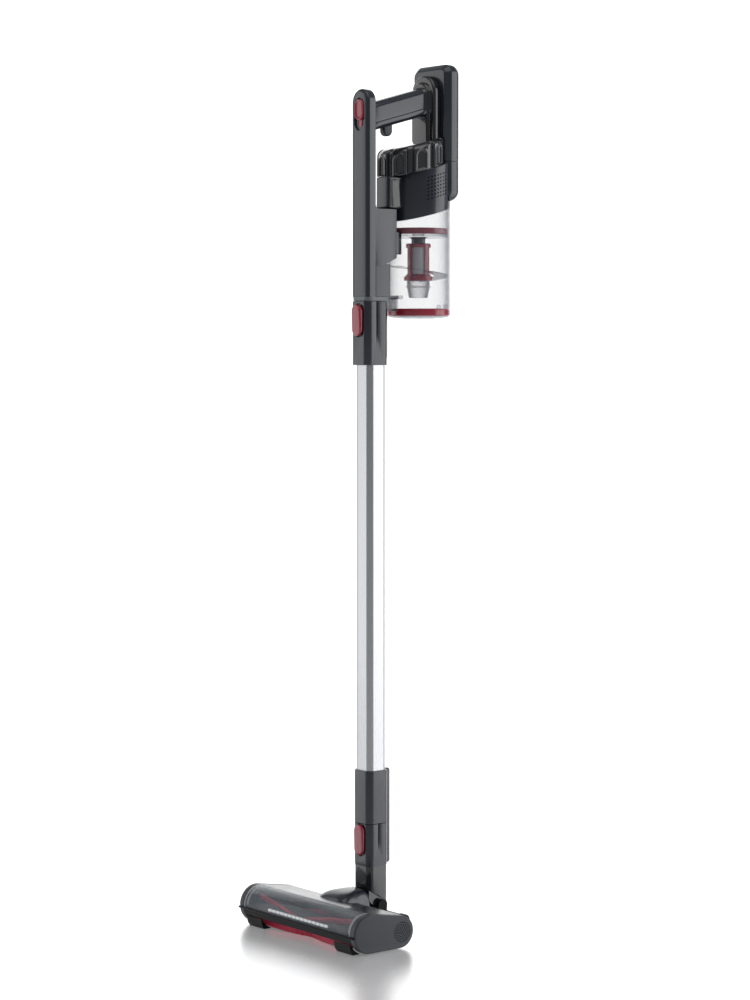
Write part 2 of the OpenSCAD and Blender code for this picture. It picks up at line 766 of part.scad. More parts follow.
module spine_outline(trim) intersection() {
    union() {
        column(spine_w - 2 * trim, spine_d - 2 * trim, spine_corner - trim,
            hand_z, spine_top, spine_back - spine_d / 2);
        block(-spine_w / 2 + trim, spine_w / 2 - trim, spine_back - spine_d / 2, spine_back - trim,
            hand_z, spine_top);
    }
    rotate([90, 0, 0]) linear_extrude(far, center = true) {
        translate([0, spine_top - spine_w / 2]) circle(spine_w / 2 - trim);
        translate([-far / 2, 0]) square([far, spine_top - spine_w / 2]);
    }
}

// the front strut: its foot is the air channel, and above it are the switch and the control board
module spine() color(anthracite) in_frame() difference() {
    spine_outline(0);
    block(-13, 13, -spine_front + 3, spine_back + 1, hand_z - 1, port_z1);
    intersection() {
        spine_outline(shell_wall);
        block(-far, far, -spine_front + 5.5, far, port_z1 + 10, spine_top - 12);
    }
    front_pill(switch_w + 1, switch_h + switch_travel + 1, switch_z - switch_travel / 2, -spine_front - 1,
        -spine_front + switch_depth);
}

// the air duct from the spine's foot to the dust bin
module inlet_duct() color(anthracite) in_frame() difference() {
    union() {
        side_slab(2 * duct_half) polygon([
            [spine_back, hand_z + 41], [7, hand_z + 41], [duct_back, hand_z + 52],
            [duct_back, duct_top], [spine_back, duct_top]]);
        side_slab(2 * duct_half - 3) polygon([[spine_back, hand_z], [22, hand_z], [22, hand_z + 50],
            [spine_back, hand_z + 50]]);
        block(-port_half - 2.5, port_half + 2.5, duct_back - 1, bin_y - 30, port_z0 - 3, port_z1 + 3);
    }
    drum(bin_r + move_gap, hand_z - 50, duct_top + 50, bin_y);
    block(-13, 13, spine_back - 1, 18, hand_z - 1, port_z1);
    block(-port_half, port_half, 10, bin_y, port_z0, port_z1);
}

module vent_zone(grow) raked_slab(vent_mid_z - vent_field / 2 - grow, vent_mid_y,
    vent_mid_z + vent_field / 2 + grow, vent_mid_y, vent_mid_y - vent_field / 2 - grow,
    vent_mid_y + vent_field / 2 + grow);

module motor_housing() color(anthracite) in_frame() difference() {
    union() {
        intersection() {
            drum(bin_r, hand_z, hand_z + 300, bin_y);
            raked_slab(housing_z, bin_y, crown_z - move_gap, crown_y);
        }
        block(-14, 14, 20, bin_y - 20, duct_top, hand_z + 158);
    }
    difference() {
        intersection() {
            drum(bin_r - shell_wall, hand_z, hand_z + 300, bin_y);
            block(-far, far, 0, dock_back - shell_wall, hand_z, hand_z + 300);
        }
        tube_ring(bin_r, motor_r + 0.2, motor_z + motor_h - 4, motor_z + motor_h - 1, motor_y);
    }
    block(-far, far, dock_back, far, battery_z - move_gap, hand_z + 300);
    difference() {
        vent_zone(0.2);
        drum(bin_r - shell_wall, hand_z, hand_z + 300, bin_y);
    }
}

// the two perforated plates in the sides of the motor housing
module exhaust_grilles() color(dark) in_frame() difference() {
    intersection() {
        tube_ring(bin_r, bin_r - 1.8, hand_z, hand_z + 300, bin_y);
        vent_zone(0);
    }
    for (i = [0:vent_count - 1], j = [0:vent_count - 1]) {
        y = vent_mid_y + (i - (vent_count - 1) / 2) * vent_pitch;
        z = raked(vent_mid_z, vent_mid_y, y) + (j - (vent_count - 1) / 2) * vent_pitch;
        rod_x(vent_r, -far, far, y, z);
    }
}

// the ring of pods above the motor housing
module crown() color(dark) in_frame() difference() {
    intersection() {
        union() {
            drum(crown_r - pod_r, hand_z, hand_z + 300, crown_y);
            for (k = [0:pod_count - 1]) rotate_at(k * 360 / pod_count + 20)
                translate([0, crown_r - pod_r, hand_z]) cylinder(r = pod_r, h = 300);
        }
        raked_slab(crown_z, crown_y, crown_top, crown_y);
        block(-far, far, 0, dock_back, hand_z, hand_z + 300);
    }
    intersection() {
        drum(motor_r + 3.5, hand_z, hand_z + 300, crown_y);
        raked_slab(crown_z - 1, crown_y, crown_top - 3, crown_y);
    }
    block(-dock_half_w - 0.1, dock_half_w + 0.1, dock_front - 0.1, far, hand_z, hand_z + 300);
}

module rotate_at(a) translate([0, crown_y, 0]) rotate([0, 0, a]) children();

// places a shape drawn on the grip's centre line; its +Y points down
module on_grip() translate([0, spine_back, grip_z]) rotate([rake - 90, 0, 0]) children();

module grip_solid(w, h, r, y0, y1) intersection() {
    on_grip() translate([0, 0, -30]) linear_extrude(180) rounded_square(w, h, r);
    block(-far, far, y0, y1, hand_z, hand_z + 400);
}

module grip_shell() difference() {
    grip_solid(grip_w, grip_h, grip_corner, spine_back, dock_front);
    grip_solid(grip_w - 2 * shell_wall, grip_h - 2 * shell_wall, grip_corner - shell_wall, spine_back - 1,
        dock_front + 1);
}

module dock() color(dark) in_frame() {
    intersection() {
        rotate([90, 0, 0]) linear_extrude(far, center = true) {
            translate([0, dock_arch_z]) circle(dock_half_w);
            translate([-dock_half_w, 0]) square([2 * dock_half_w, dock_arch_z]);
        }
        block(-far, far, dock_front, dock_back, hand_z, hand_z + 400);
        raked_slab(crown_z, crown_y, crown_z + 200, crown_y);
    }
    difference() {
        grip_solid(grip_w + 7, grip_h + 7, grip_corner + 3.5, collar_front, dock_front);
        grip_solid(grip_w, grip_h, grip_corner, 0, dock_front + 1);
    }
}

module grip_upper() color(anthracite) in_frame() {
    intersection() {
        grip_shell();
        on_grip() translate([-60, -60, -60]) cube([120, 60 + grip_cut, 260]);
    }
    block(-grip_w / 2 + 2, grip_w / 2 - 2, trigger_y - 4, trigger_y + 4, trigger_top + spring_h,
        trigger_top + spring_h + 2);
}

module grip_lower() color(anthracite) in_frame() difference() {
    grip_shell();
    on_grip() translate([-60, -60, -60]) cube([120, 60 + grip_cut, 260]);
    block(-trigger_w / 2 - seat_gap, trigger_w / 2 + seat_gap, trigger_y - trigger_len / 2 - seat_gap,
        trigger_y + trigger_len / 2 + seat_gap, trigger_tip, trigger_top);
}

module trigger() color(anthracite) in_frame() side_slab(trigger_w) {
    translate([trigger_y, trigger_tip + trigger_len / 2]) circle(trigger_len / 2);
    translate([trigger_y - trigger_len / 2, trigger_tip + trigger_len / 2])
        square([trigger_len, trigger_top - trigger_tip - trigger_len / 2]);
}

// a point on the spring's wire: turn t along the helix, angle a around the wire
function wire_point(t, a) = [(spring_r + wire_r * cos(a)) * cos(360 * t),
    (spring_r + wire_r * cos(a)) * sin(360 * t),
    wire_r + (spring_h - 2 * wire_r) * t / spring_turns + wire_r * sin(a)];

module trigger_spring() color(steel) in_frame() translate([0, trigger_y, trigger_top]) {
    rings = 12 * spring_turns;
    sides = 6;
    polyhedron(points = [for (i = [0:rings], j = [0:sides - 1]) wire_point(i / 12, -60 * j)],
        faces = concat([[for (j = [0:sides - 1]) sides - 1 - j]],
            [for (i = [0:rings - 1], j = [0:sides - 1]) [i * sides + j, i * sides + (j + 1) % sides,
                (i + 1) * sides + (j + 1) % sides, (i + 1) * sides + j]],
            [[for (j = [0:sides - 1]) rings * sides + j]]));
}

module power_switch() color(red) in_frame()
    front_pill(switch_w, switch_h, switch_z, -spine_front - 1, -spine_front + switch_depth - 0.4);

module suction_motor() color(steel) in_frame() difference() {
    drum(motor_r, motor_z, motor_z + motor_h, motor_y);
    drum(2.5 + run_gap, motor_z + 8, motor_z + motor_h + 1, motor_y);
}

module exhaust_filter() color("white") in_frame() difference() {
    intersection() {
        tube_ring(bin_r - shell_wall - 0.3, bin_r - shell_wall - 4,
            motor_z + 2, motor_z + motor_h - 5, bin_y);
        block(-far, far, 0, dock_back - shell_wall - 0.3, hand_z, hand_z + 300);
    }
    drum(motor_r + 0.4, motor_z, motor_z + motor_h, motor_y);
}

module pre_filter() color("gainsboro") in_frame() intersection() {
    drum(bin_r - shell_wall - 1, hand_z, hand_z + 300, bin_y);
    raked_slab(housing_z + 2, bin_y, housing_z + 8, bin_y);
    block(-far, far, 0, dock_back - shell_wall - 0.3, hand_z, hand_z + 300);
}

module control_board() color("darkgreen") in_frame()
    block(-11, 11, -spine_front + 6.5, -spine_front + 8.1, hand_z + 105, hand_z + 205);

module impeller() color(silver) in_frame() {
    drum(2.5, motor_z + 10, motor_z + motor_h + 5, motor_y);
    drum(motor_r, motor_z + motor_h + 3, motor_z + motor_h + 5, motor_y);
    for (k = [0:blade_count - 1])
        translate([0, motor_y, motor_z + motor_h + 4.5]) rotate(k * 360 / blade_count)
        translate([4, -0.7, 0]) cube([motor_r - 5, 1.4, 8]);
}

// ---- battery ----
module battery_outline(trim) intersection() {
    translate([0, 0, battery_z + battery_h / 2]) rotate([90, 0, 0]) linear_extrude(far, center = true)
        rounded_square(battery_w - 2 * trim, battery_h - 2 * trim, battery_corner - trim);
    translate([0, 0, battery_z]) linear_extrude(battery_h) polygon([
        [-battery_w / 2 + battery_bevel, battery_front + trim],
        [battery_w / 2 - battery_bevel, battery_front + trim],
        [battery_w / 2 - trim, battery_front + battery_bevel], [battery_w / 2 - trim, battery_back - trim],
        [-battery_w / 2 + trim, battery_back - trim],
        [-battery_w / 2 + trim, battery_front + battery_bevel]]);
    side_slab(far) {
        translate([battery_front, battery_z]) square([battery_d - battery_corner, battery_h]);
        translate([battery_front, battery_z + battery_corner])
            square([battery_d, battery_h - 2 * battery_corner]);
        for (z = [battery_corner, battery_h - battery_corner])
            translate([battery_back - battery_corner, battery_z + z]) circle(battery_corner - trim);
    }
}

module battery_shell() difference() {
    battery_outline(0);
    battery_outline(battery_wall);
}

module battery_case() color(anthracite) in_frame() intersection() {
    battery_shell();
    block(-far, far, 0, far, battery_seam, battery_z + battery_h + 1);
}

module latch_button(grow) block(-9 - grow, 9 + grow, battery_back - 2.5 - grow, battery_back + grow,
    battery_z + 21 - grow, battery_z + 31 + grow);

module on_left_face(r, depth) rod_x(r, -battery_w / 2, -battery_w / 2 + depth, battery_mid, jack_z);

module battery_base() color(anthracite) in_frame() difference() {
    intersection() {
        battery_shell();
        block(-far, far, 0, far, battery_z - 1, battery_seam);
    }
    on_left_face(jack_body_r, battery_wall + 1);
    latch_button(seat_gap);
}

module battery_cells() color("royalblue") in_frame()
    for (x = [-1, 0, 1], z = [0, 1]) translate([x * (2 * cell_r + 0.6), battery_mid - 0.5,
        cell_foot + z * (cell_len + 2)]) cylinder(r = cell_r, h = cell_len);

// the socket for the charger's plug, in the battery's left face
module charging_jack() color(black) in_frame() difference() {
    on_left_face(jack_body_r, jack_len);
    translate([-1, 0, 0]) on_left_face(jack_r, jack_depth + 1);
}

module battery_latch() color(dark) in_frame() latch_button(0);

// ---- dust bin ----
module latch_ears() both_sides() difference() {
    block(12.4, 14.6, latch_pin_y - 2.6, bin_y - bin_r + 6, latch_pin_z - 2.6, latch_pin_z + 2.6);
    rod_x(1.5 + run_gap, 12, 15, latch_pin_y, latch_pin_z);
}

module hinge_ears() both_sides()
    block(5.3, 9, lid_pin_y - 2.8, lid_pin_y + 2.8, lid_pin_z - 2.5, bin_z + 6);

module bin_shell() color(clear) in_frame() difference() {
    union() {
        intersection() {
            drum(bin_r, bin_z, bin_z + 300, bin_y);
            raked_slab(hand_z - 100, bin_y, housing_z - move_gap, bin_y);
        }
        latch_ears();
        hinge_ears();
    }
    drum(bin_r - bin_wall, bin_z - 1, bin_z + 300, bin_y);
    block(-port_half, port_half, 0, bin_y, port_z0, port_z1);
    rod_x(lid_pin_r, -10, 10, lid_pin_y, lid_pin_z);
}

// the red ring that closes the bin's top against the housing
module bin_ring() color(red) in_frame()
    tube_ring(bin_r - bin_wall - 0.05, bin_r - bin_wall - 6, ring_z, ring_z + 8, bin_y);

module cyclone_plate() color(dark) in_frame() difference() {
    union() {
        drum(bin_r - bin_wall - 0.05, plate_z, ring_z, bin_y);
        drum(9.5, cyclone_top, plate_z + 1, bin_y);
    }
    drum(7.5, cyclone_top - 1, ring_z + 1, bin_y);
    block(-port_half, port_half, 0, bin_y - 25, plate_z - 1, port_z1 + 0.5);
}

module cyclone_frame() color(red) in_frame() difference() {
    union() {
        drum(cyclone_r, cyclone_z, cyclone_top, bin_y);
        drum(cyclone_r + 2.7, cyclone_z, cyclone_z + 6, bin_y);
    }
    drum(cyclone_r - 2, cyclone_z - 1, cyclone_top - 3, bin_y);
    drum(7.5, cyclone_z, cyclone_top + 1, bin_y);
    for (a = [0, 90])
        translate([0, bin_y, cyclone_z + 8]) rotate(a + 38) translate([-cyclone_r * 0.55, -30, 0])
        cube([cyclone_r * 1.1, 60, cyclone_h - 13]);
}

module cyclone_mesh() color(silver) in_frame()
    tube_ring(cyclone_r - 2.1, cyclone_r - 2.7, cyclone_z + 0.5, cyclone_top - 3.1, bin_y);

module cyclone_cone() color(clear) in_frame() translate([0, bin_y, 0]) difference() {
    union() {
        translate([0, 0, cyclone_z - 8]) cylinder(r = cyclone_r - 1.4, h = 8);
        translate([0, 0, cyclone_z - 23]) cylinder(r1 = cyclone_r - 4, r2 = cyclone_r - 1.6, h = 15);
    }
    translate([0, 0, cyclone_z - 24]) cylinder(r = cyclone_r - 5.4, h = 30);
}

// ---- the bin's lid ----
module bin_lid() color(red) in_frame() difference() {
    union() {
        difference() {
            drum(bin_r, lid_ring_z, lid_top, bin_y);
            drum(bin_r - 3.4, lid_ring_z + 2, lid_top + 1, bin_y);
            block(-9.4, 9.4, bin_y + bin_r - 6, far, hand_z - 50, hand_z + 50);
            block(-14.9, 14.9, 0, latch_pin_y + 2, hand_z - 50, hand_z + 50);
        }
        drum(bin_r - 3, lid_ring_z - lid_dish_h, lid_ring_z + 0.5, bin_y);
        rod_x(2.8, -5, 5, lid_pin_y, lid_pin_z);
        block(-5, 5, bin_y + bin_r - 9, lid_pin_y, lid_ring_z, lid_pin_z + 2.4);
    }
    rod_x(lid_pin_r + run_gap, -10, 10, lid_pin_y, lid_pin_z);
}

module lid_hinge_pin() color(steel) in_frame() rod_x(lid_pin_r, -9, 9, lid_pin_y, lid_pin_z);

// the clear latch that holds the lid's front
module bin_latch() color(clear) in_frame() {
    difference() {
        block(-12, 12, latch_pin_y - 2.4, latch_pin_y + 2, latch_z0, latch_z1);
        drum(bin_r + move_gap, hand_z - 50, hand_z + 50, bin_y);
    }
    both_sides() rod_x(1.5, 11, 14.4, latch_pin_y, latch_pin_z);
}

head_chassis();
head_cover();
brush_window();
front_bumper();
light_strip();
left_end_cap();
right_end_cap();
front_skids();
neck_shroud();
brush_bearings();
brush_motor();
drive_belt();
rear_axle();
tilt_pins();
head_screws();
brush_core();
brush_bristles();
brush_shaft();
brush_pulley();
motor_pulley();
rear_wheels();
elbow();
neck_socket();
neck_button();
lower_fitting();
wand_tube();
upper_socket();
wand_cable();
wand_button();
handheld_collar();
spine();
inlet_duct();
motor_housing();
exhaust_grilles();
crown();
dock();
grip_upper();
grip_lower();
suction_motor();
exhaust_filter();
pre_filter();
control_board();
trigger_spring();
power_switch();
trigger();
impeller();
battery_case();
battery_base();
battery_cells();
charging_jack();
battery_latch();
bin_shell();
bin_ring();
cyclone_plate();
cyclone_frame();
cyclone_mesh();
cyclone_cone();
bin_lid();
lid_hinge_pin();
bin_latch();
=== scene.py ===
"""Cordless stick vacuum: its visible pieces, their finishes and a soft studio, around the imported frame.

Lengths are in millimetres in the frame's own axes until a mesh is made, and every piece takes its place
from the boxes of the CAD nodes.
"""

import json
import logging
import math
import random
from dataclasses import dataclass
from enum import Enum
from typing import Callable, Sequence

import bmesh
import bpy
from mathutils import Matrix, Vector


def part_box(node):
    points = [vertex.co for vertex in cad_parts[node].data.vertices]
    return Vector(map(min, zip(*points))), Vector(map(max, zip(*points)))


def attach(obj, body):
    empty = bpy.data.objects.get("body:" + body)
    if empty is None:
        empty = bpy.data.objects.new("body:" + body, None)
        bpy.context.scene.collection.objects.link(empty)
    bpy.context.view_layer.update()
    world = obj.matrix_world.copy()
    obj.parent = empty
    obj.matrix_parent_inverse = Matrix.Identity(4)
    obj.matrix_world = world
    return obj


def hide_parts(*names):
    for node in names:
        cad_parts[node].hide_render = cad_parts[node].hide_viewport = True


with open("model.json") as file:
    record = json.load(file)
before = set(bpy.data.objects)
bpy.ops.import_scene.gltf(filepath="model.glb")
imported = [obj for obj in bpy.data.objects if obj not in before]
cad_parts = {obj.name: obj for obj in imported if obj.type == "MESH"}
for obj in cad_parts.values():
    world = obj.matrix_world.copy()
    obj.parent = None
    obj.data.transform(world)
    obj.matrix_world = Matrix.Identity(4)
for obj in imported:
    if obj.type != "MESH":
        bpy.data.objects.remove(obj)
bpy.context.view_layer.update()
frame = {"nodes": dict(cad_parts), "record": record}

MM = 0.001
LOG = logging.getLogger("vacuum")

Point = tuple[float, float, float]
Pair = tuple[float, float]
Colour = tuple[float, float, float]
Outline = list[Pair]
Placer = Callable[[float, float, float], Point]


# ---- places ----
@dataclass(frozen=True)
class Box:
    """A CAD node's box in millimetres."""

    x0: float
    x1: float
    y0: float
    y1: float
    z0: float
    z1: float

    @classmethod
    def of(cls, node: str) -> "Box":
        """Reads a CAD node's box from the frame."""
        low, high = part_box(node)
        return cls(low.x / MM, high.x / MM, low.y / MM, high.y / MM, low.z / MM, high.z / MM)

    @property
    def y_mid(self) -> float:
        """The middle along Y."""
        return (self.y0 + self.y1) / 2

    @property
    def z_mid(self) -> float:
        """The middle along Z."""
        return (self.z0 + self.z1) / 2

    @property
    def width(self) -> float:
        """The size along X."""
        return self.x1 - self.x0

    @property
    def depth(self) -> float:
        """The size along Y."""
        return self.y1 - self.y0

    @property
    def height(self) -> float:
        """The size along Z."""
        return self.z1 - self.z0


class Slot(Enum):
    """The record's material slots."""

    BLACK = "black_plastic"
    ANTHRACITE = "anthracite_plastic"
    DARK = "dark_plastic"
    CLEAR_WINDOW = "clear_window"
    CLEAR_BIN = "clear_bin"
    RED = "red_plastic"
    BRISTLE = "red_bristle"
    LIGHT = "light_board"
    STEEL = "steel"
    MOTOR = "motor_metal"
    TUBE = "tube_silver"
    BELT = "belt_rubber"
    WHEEL = "wheel_rubber"
    COLLAR = "collar_grey"
    CLOTH = "filter_cloth"
    FOAM = "filter_foam"
    BOARD = "board_green"
    CELL = "cell_wrap"
    MESH = "mesh_metal"
    ALLOY = "impeller_alloy"
    CABLE = "cable_black"


# Shared places: the axes of the wand and the motor, and the heights where the handheld unit's pieces meet.
WAND_Y = Box.of("wand_tube").y_mid
MOTOR_Y = WAND_Y + 69.0
SPINE_FOOT = Box.of("spine").z0
BIN_TOP = SPINE_FOOT + 113.2
CROWN_FOOT = SPINE_FOOT + 171.8
SEAM_GAP = 0.3
RAKE = math.tan(math.radians(15.5))

# Sections about the wand's axis, as width, depth and corner, and how deep they reach.
SPIGOT, AIRWAY = (26.6, 26.6, 5.7), (21.0, 21.0, 4.0)
BORE, BORE_DEPTH = (27.2, 27.2, 6.0), 41.0
TUBE_SEAT, SEAT_DEPTH = (32.6, 31.6, 8.2), 30.0
RAIL_WIDTH, RAIL_SUNK = 14.0, 4.0


# ---- node wiring ----
class Wiring:
    """Adds nodes to one node tree and links them."""

    def __init__(self, tree: bpy.types.NodeTree) -> None:
        """Keeps the tree."""
        self.tree = tree

    def feed(self, socket: bpy.types.NodeSocket, value: object) -> None:
        """Links a socket to another socket, or sets its value.

        Args:
            socket: the input to feed.
            value: an output socket, a number or a tuple.
        """
        if isinstance(value, bpy.types.NodeSocket):
            self.tree.links.new(value, socket)
        else:
            socket.default_value = value

    def add(self, kind: str, settings: dict | None = None, **inputs: object) -> bpy.types.Node:
        """Adds a node.

        Args:
            kind: the node's type name.
            settings: attributes to set on it.
            **inputs: inputs by name, with _ for a space.

        Returns:
            The node.
        """
        node = self.tree.nodes.new(kind)
        for key, value in (settings or {}).items():
            setattr(node, key, value)
        for key, value in inputs.items():
            self.feed(node.inputs[key.replace("_", " ")], value)
        return node

    def maths(self, operation: str, a: object, b: object = 0.0, c: object = 0.0) -> bpy.types.NodeSocket:
        """Adds a Math node.

        Args:
            operation: its operation.
            a: the first input.
            b: the second input.
            c: the third input.

        Returns:
            Its output socket.
        """
        node = self.tree.nodes.new("ShaderNodeMath")
        node.operation = operation
        for socket, value in zip(node.inputs, (a, b, c)):
            self.feed(socket, value)
        return node.outputs[0]

    def mix(self, factor: object, a: object, b: object) -> bpy.types.NodeSocket:
        """Adds a colour mix.

        Args:
            factor: the share of b.
            a: the first colour.
            b: the second colour.

        Returns:
            The mixed colour's socket.
        """
        node = self.tree.nodes.new("ShaderNodeMix")
        node.data_type = "RGBA"
        self.feed(node.inputs[0], factor)
        self.feed(node.inputs[6], a)
        self.feed(node.inputs[7], b)
        return node.outputs[2]


def new_group(name: str, inputs: dict[str, str], outputs: dict[str, str]) -> tuple[Wiring, object, object]:
    """Makes an empty shader node group.

    Args:
        name: the group's name.
        inputs: socket types by input name.
        outputs: socket types by output name.

    Returns:
        Its wiring, its input node and its output node.
    """
    tree = bpy.data.node_groups.new(name, "ShaderNodeTree")
    for label, kind in inputs.items():
        tree.interface.new_socket(label, in_out="INPUT", socket_type="NodeSocket" + kind)
    for label, kind in outputs.items():
        tree.interface.new_socket(label, in_out="OUTPUT", socket_type="NodeSocket" + kind)
    return Wiring(tree), tree.nodes.new("NodeGroupInput"), tree.nodes.new("NodeGroupOutput")


# ---- effects that several finishes share ----
class Effects:
    """Builds each shared effect once, as a node group."""

    def __init__(self) -> None:
        """Starts with no groups."""
        self.made: dict[str, bpy.types.NodeTree] = {}

    def group(self, name: str) -> bpy.types.NodeTree:
        """Finds an effect, and builds it at its first use.

        Args:
            name: moulded, drawn, haze, woven or bristle.

        Returns:
            The node group.
        """
        if name not in self.made:
            self.made[name] = getattr(self, "build_" + name)()
        return self.made[name]

    def build_moulded(self) -> bpy.types.NodeTree:
        """The spark-eroded grain of moulded plastic, with faint clouding and handling marks."""
        wires, start, end = new_group(
            "moulded_surface",
            {"Base": "Color", "Tint": "Float", "Grain Scale": "Float", "Grain": "Float",
             "Roughness": "Float", "Smudge": "Float"},
            {"Colour": "Color", "Roughness": "Float", "Height": "Float"})
        place = wires.add("ShaderNodeTexCoord").outputs["Object"]
        fine = wires.add("ShaderNodeTexNoise", Vector=place, Scale=start.outputs["Grain Scale"], Detail=2.0)
        flow = wires.add("ShaderNodeTexNoise", Vector=place, Scale=16.0, Detail=4.0, Roughness=0.6)
        cells = wires.add("ShaderNodeTexVoronoi", Vector=place, Scale=start.outputs["Grain Scale"])
        cloud = wires.maths("MULTIPLY", flow.outputs["Fac"], start.outputs["Tint"])
        wires.feed(end.inputs["Colour"], wires.mix(cloud, start.outputs["Base"], (0.55, 0.58, 0.63, 1.0)))
        marks = wires.maths("SUBTRACT", flow.outputs["Fac"], 0.5)
        rough = wires.maths("MULTIPLY_ADD", marks, start.outputs["Smudge"], start.outputs["Roughness"])
        wires.feed(end.inputs["Roughness"], rough)
        relief = wires.maths("ADD", fine.outputs["Fac"], cells.outputs["Distance"])
        wires.feed(end.inputs["Height"], wires.maths("MULTIPLY", relief, start.outputs["Grain"]))
        return wires.tree

    def build_drawn(self) -> bpy.types.NodeTree:
        """Fine streaks along one direction, as on drawn, anodised or turned metal."""
        wires, start, end = new_group(
            "drawn_metal",
            {"Base": "Color", "Shade": "Color", "Stretch": "Vector", "Roughness": "Float", "Streak": "Float"},
            {"Colour": "Color", "Roughness": "Float", "Height": "Float"})
        place = wires.add("ShaderNodeTexCoord").outputs["Object"]
        stretched = wires.add("ShaderNodeVectorMath", {"operation": "MULTIPLY"})
        wires.feed(stretched.inputs[0], place)
        wires.feed(stretched.inputs[1], start.outputs["Stretch"])
        lines = wires.add("ShaderNodeTexNoise", Vector=stretched.outputs[0], Scale=1.0, Detail=5.0,
                          Roughness=0.65)
        broad = wires.add("ShaderNodeTexNoise", Vector=place, Scale=7.0, Detail=2.0)
        mask = wires.maths("MULTIPLY", lines.outputs["Fac"], broad.outputs["Fac"])
        wires.feed(end.inputs["Colour"], wires.mix(mask, start.outputs["Base"], start.outputs["Shade"]))
        swing = wires.maths("SUBTRACT", lines.outputs["Fac"], 0.5)
        rough = wires.maths("MULTIPLY_ADD", swing, start.outputs["Streak"], start.outputs["Roughness"])
        wires.feed(end.inputs["Roughness"], rough)
        wires.feed(end.inputs["Height"],
                   wires.maths("MULTIPLY", lines.outputs["Fac"], start.outputs["Streak"]))
        return wires.tree

    def build_haze(self) -> bpy.types.NodeTree:
        """Fine dust and hairline scratches on clear plastic."""
        wires, start, end = new_group(
            "clear_haze", {"Roughness": "Float", "Dust": "Float"},
            {"Roughness": "Float", "Dust": "Float", "Height": "Float"})
        place = wires.add("ShaderNodeTexCoord").outputs["Object"]
        film = wires.add("ShaderNodeTexNoise", Vector=place, Scale=35.0, Detail=6.0, Roughness=0.7)
        specks = wires.add("ShaderNodeTexVoronoi", Vector=place, Scale=900.0)
        mote = wires.maths("LESS_THAN", specks.outputs["Distance"], 0.09)
        amount = wires.maths("MULTIPLY", film.outputs["Fac"], start.outputs["Dust"])
        wires.feed(end.inputs["Dust"], wires.maths("MULTIPLY_ADD", mote, amount, amount))
        wires.feed(end.inputs["Roughness"], wires.maths("ADD", start.outputs["Roughness"], amount))
        wires.feed(end.inputs["Height"], wires.maths("MULTIPLY", film.outputs["Fac"], 0.04))
        return wires.tree

    def build_woven(self) -> bpy.types.NodeTree:
        """Crossed threads, as in filter cloth, wire mesh or open foam."""
        wires, start, end = new_group(
            "woven_threads",
            {"Base": "Color", "Gap Colour": "Color", "Pitch": "Float"},
            {"Colour": "Color", "Height": "Float"})
        place = wires.add("ShaderNodeTexCoord").outputs["Object"]
        axes = wires.add("ShaderNodeSeparateXYZ", Vector=place)
        turn = wires.maths("DIVIDE", math.tau, start.outputs["Pitch"])
        across = wires.maths("ADD", axes.outputs["X"], wires.maths("MULTIPLY", axes.outputs["Y"], 1.4))
        warp = wires.maths("SINE", wires.maths("MULTIPLY", across, turn))
        weft = wires.maths("SINE", wires.maths("MULTIPLY", axes.outputs["Z"], turn))
        thread = wires.maths("MAXIMUM", warp, weft)
        mask = wires.maths("GREATER_THAN", thread, 0.1)
        wires.feed(end.inputs["Colour"], wires.mix(mask, start.outputs["Gap Colour"], start.outputs["Base"]))
        wires.feed(end.inputs["Height"], thread)
        return wires.tree

    def build_bristle(self) -> bpy.types.NodeTree:
        """The uneven tone of dyed nylon bristle."""
        wires, start, end = new_group(
            "dyed_bristle", {"Base": "Color", "Tip": "Color"}, {"Colour": "Color", "Height": "Float"})
        place = wires.add("ShaderNodeTexCoord").outputs["Object"]
        strands = wires.add("ShaderNodeTexNoise", Vector=place, Scale=1400.0, Detail=2.0)
        tone = wires.add("ShaderNodeTexNoise", Vector=place, Scale=120.0, Detail=3.0)
        wires.feed(end.inputs["Colour"],
                   wires.mix(tone.outputs["Fac"], start.outputs["Base"], start.outputs["Tip"]))
        wires.feed(end.inputs["Height"], strands.outputs["Fac"])
        return wires.tree


def rgba(colour: Colour) -> tuple[float, float, float, float]:
    """A colour with full alpha."""
    return (*colour, 1.0)


class Finish:
    """What every finish shares: a Principled shader and a bump, fed by one shared effect."""

    name: str

    def build(self, effects: Effects, effect: str, distance: float, plain: dict[str, object],
              **inputs: object) -> tuple[bpy.types.Material, Wiring, bpy.types.Node, bpy.types.Node]:
        """Makes the material.

        Args:
            effects: the effects made so far.
            effect: the name of the effect that feeds the shader.
            distance: the bump's distance in metres.
            plain: the shader's constant values by socket name.
            **inputs: the effect's inputs by name, with _ for a space.

        Returns:
            The material, its wiring, its shader and its effect's node.
        """
        material = bpy.data.materials.new(self.name)
        material.use_nodes = True
        wires = Wiring(material.node_tree)
        shader = material.node_tree.nodes["Principled BSDF"]
        bump = wires.add("ShaderNodeBump", Distance=distance, Strength=1.0)
        wires.feed(shader.inputs["Normal"], bump.outputs["Normal"])
        surface = wires.add("ShaderNodeGroup", {"node_tree": effects.group(effect)}, **inputs)
        for output, socket in (("Colour", shader.inputs["Base Color"]),
                               ("Roughness", shader.inputs["Roughness"]),
                               ("Height", bump.inputs["Height"])):
            if output in surface.outputs:
                wires.feed(socket, surface.outputs[output])
        for label, value in plain.items():
            shader.inputs[label].default_value = value
        return material, wires, shader, surface


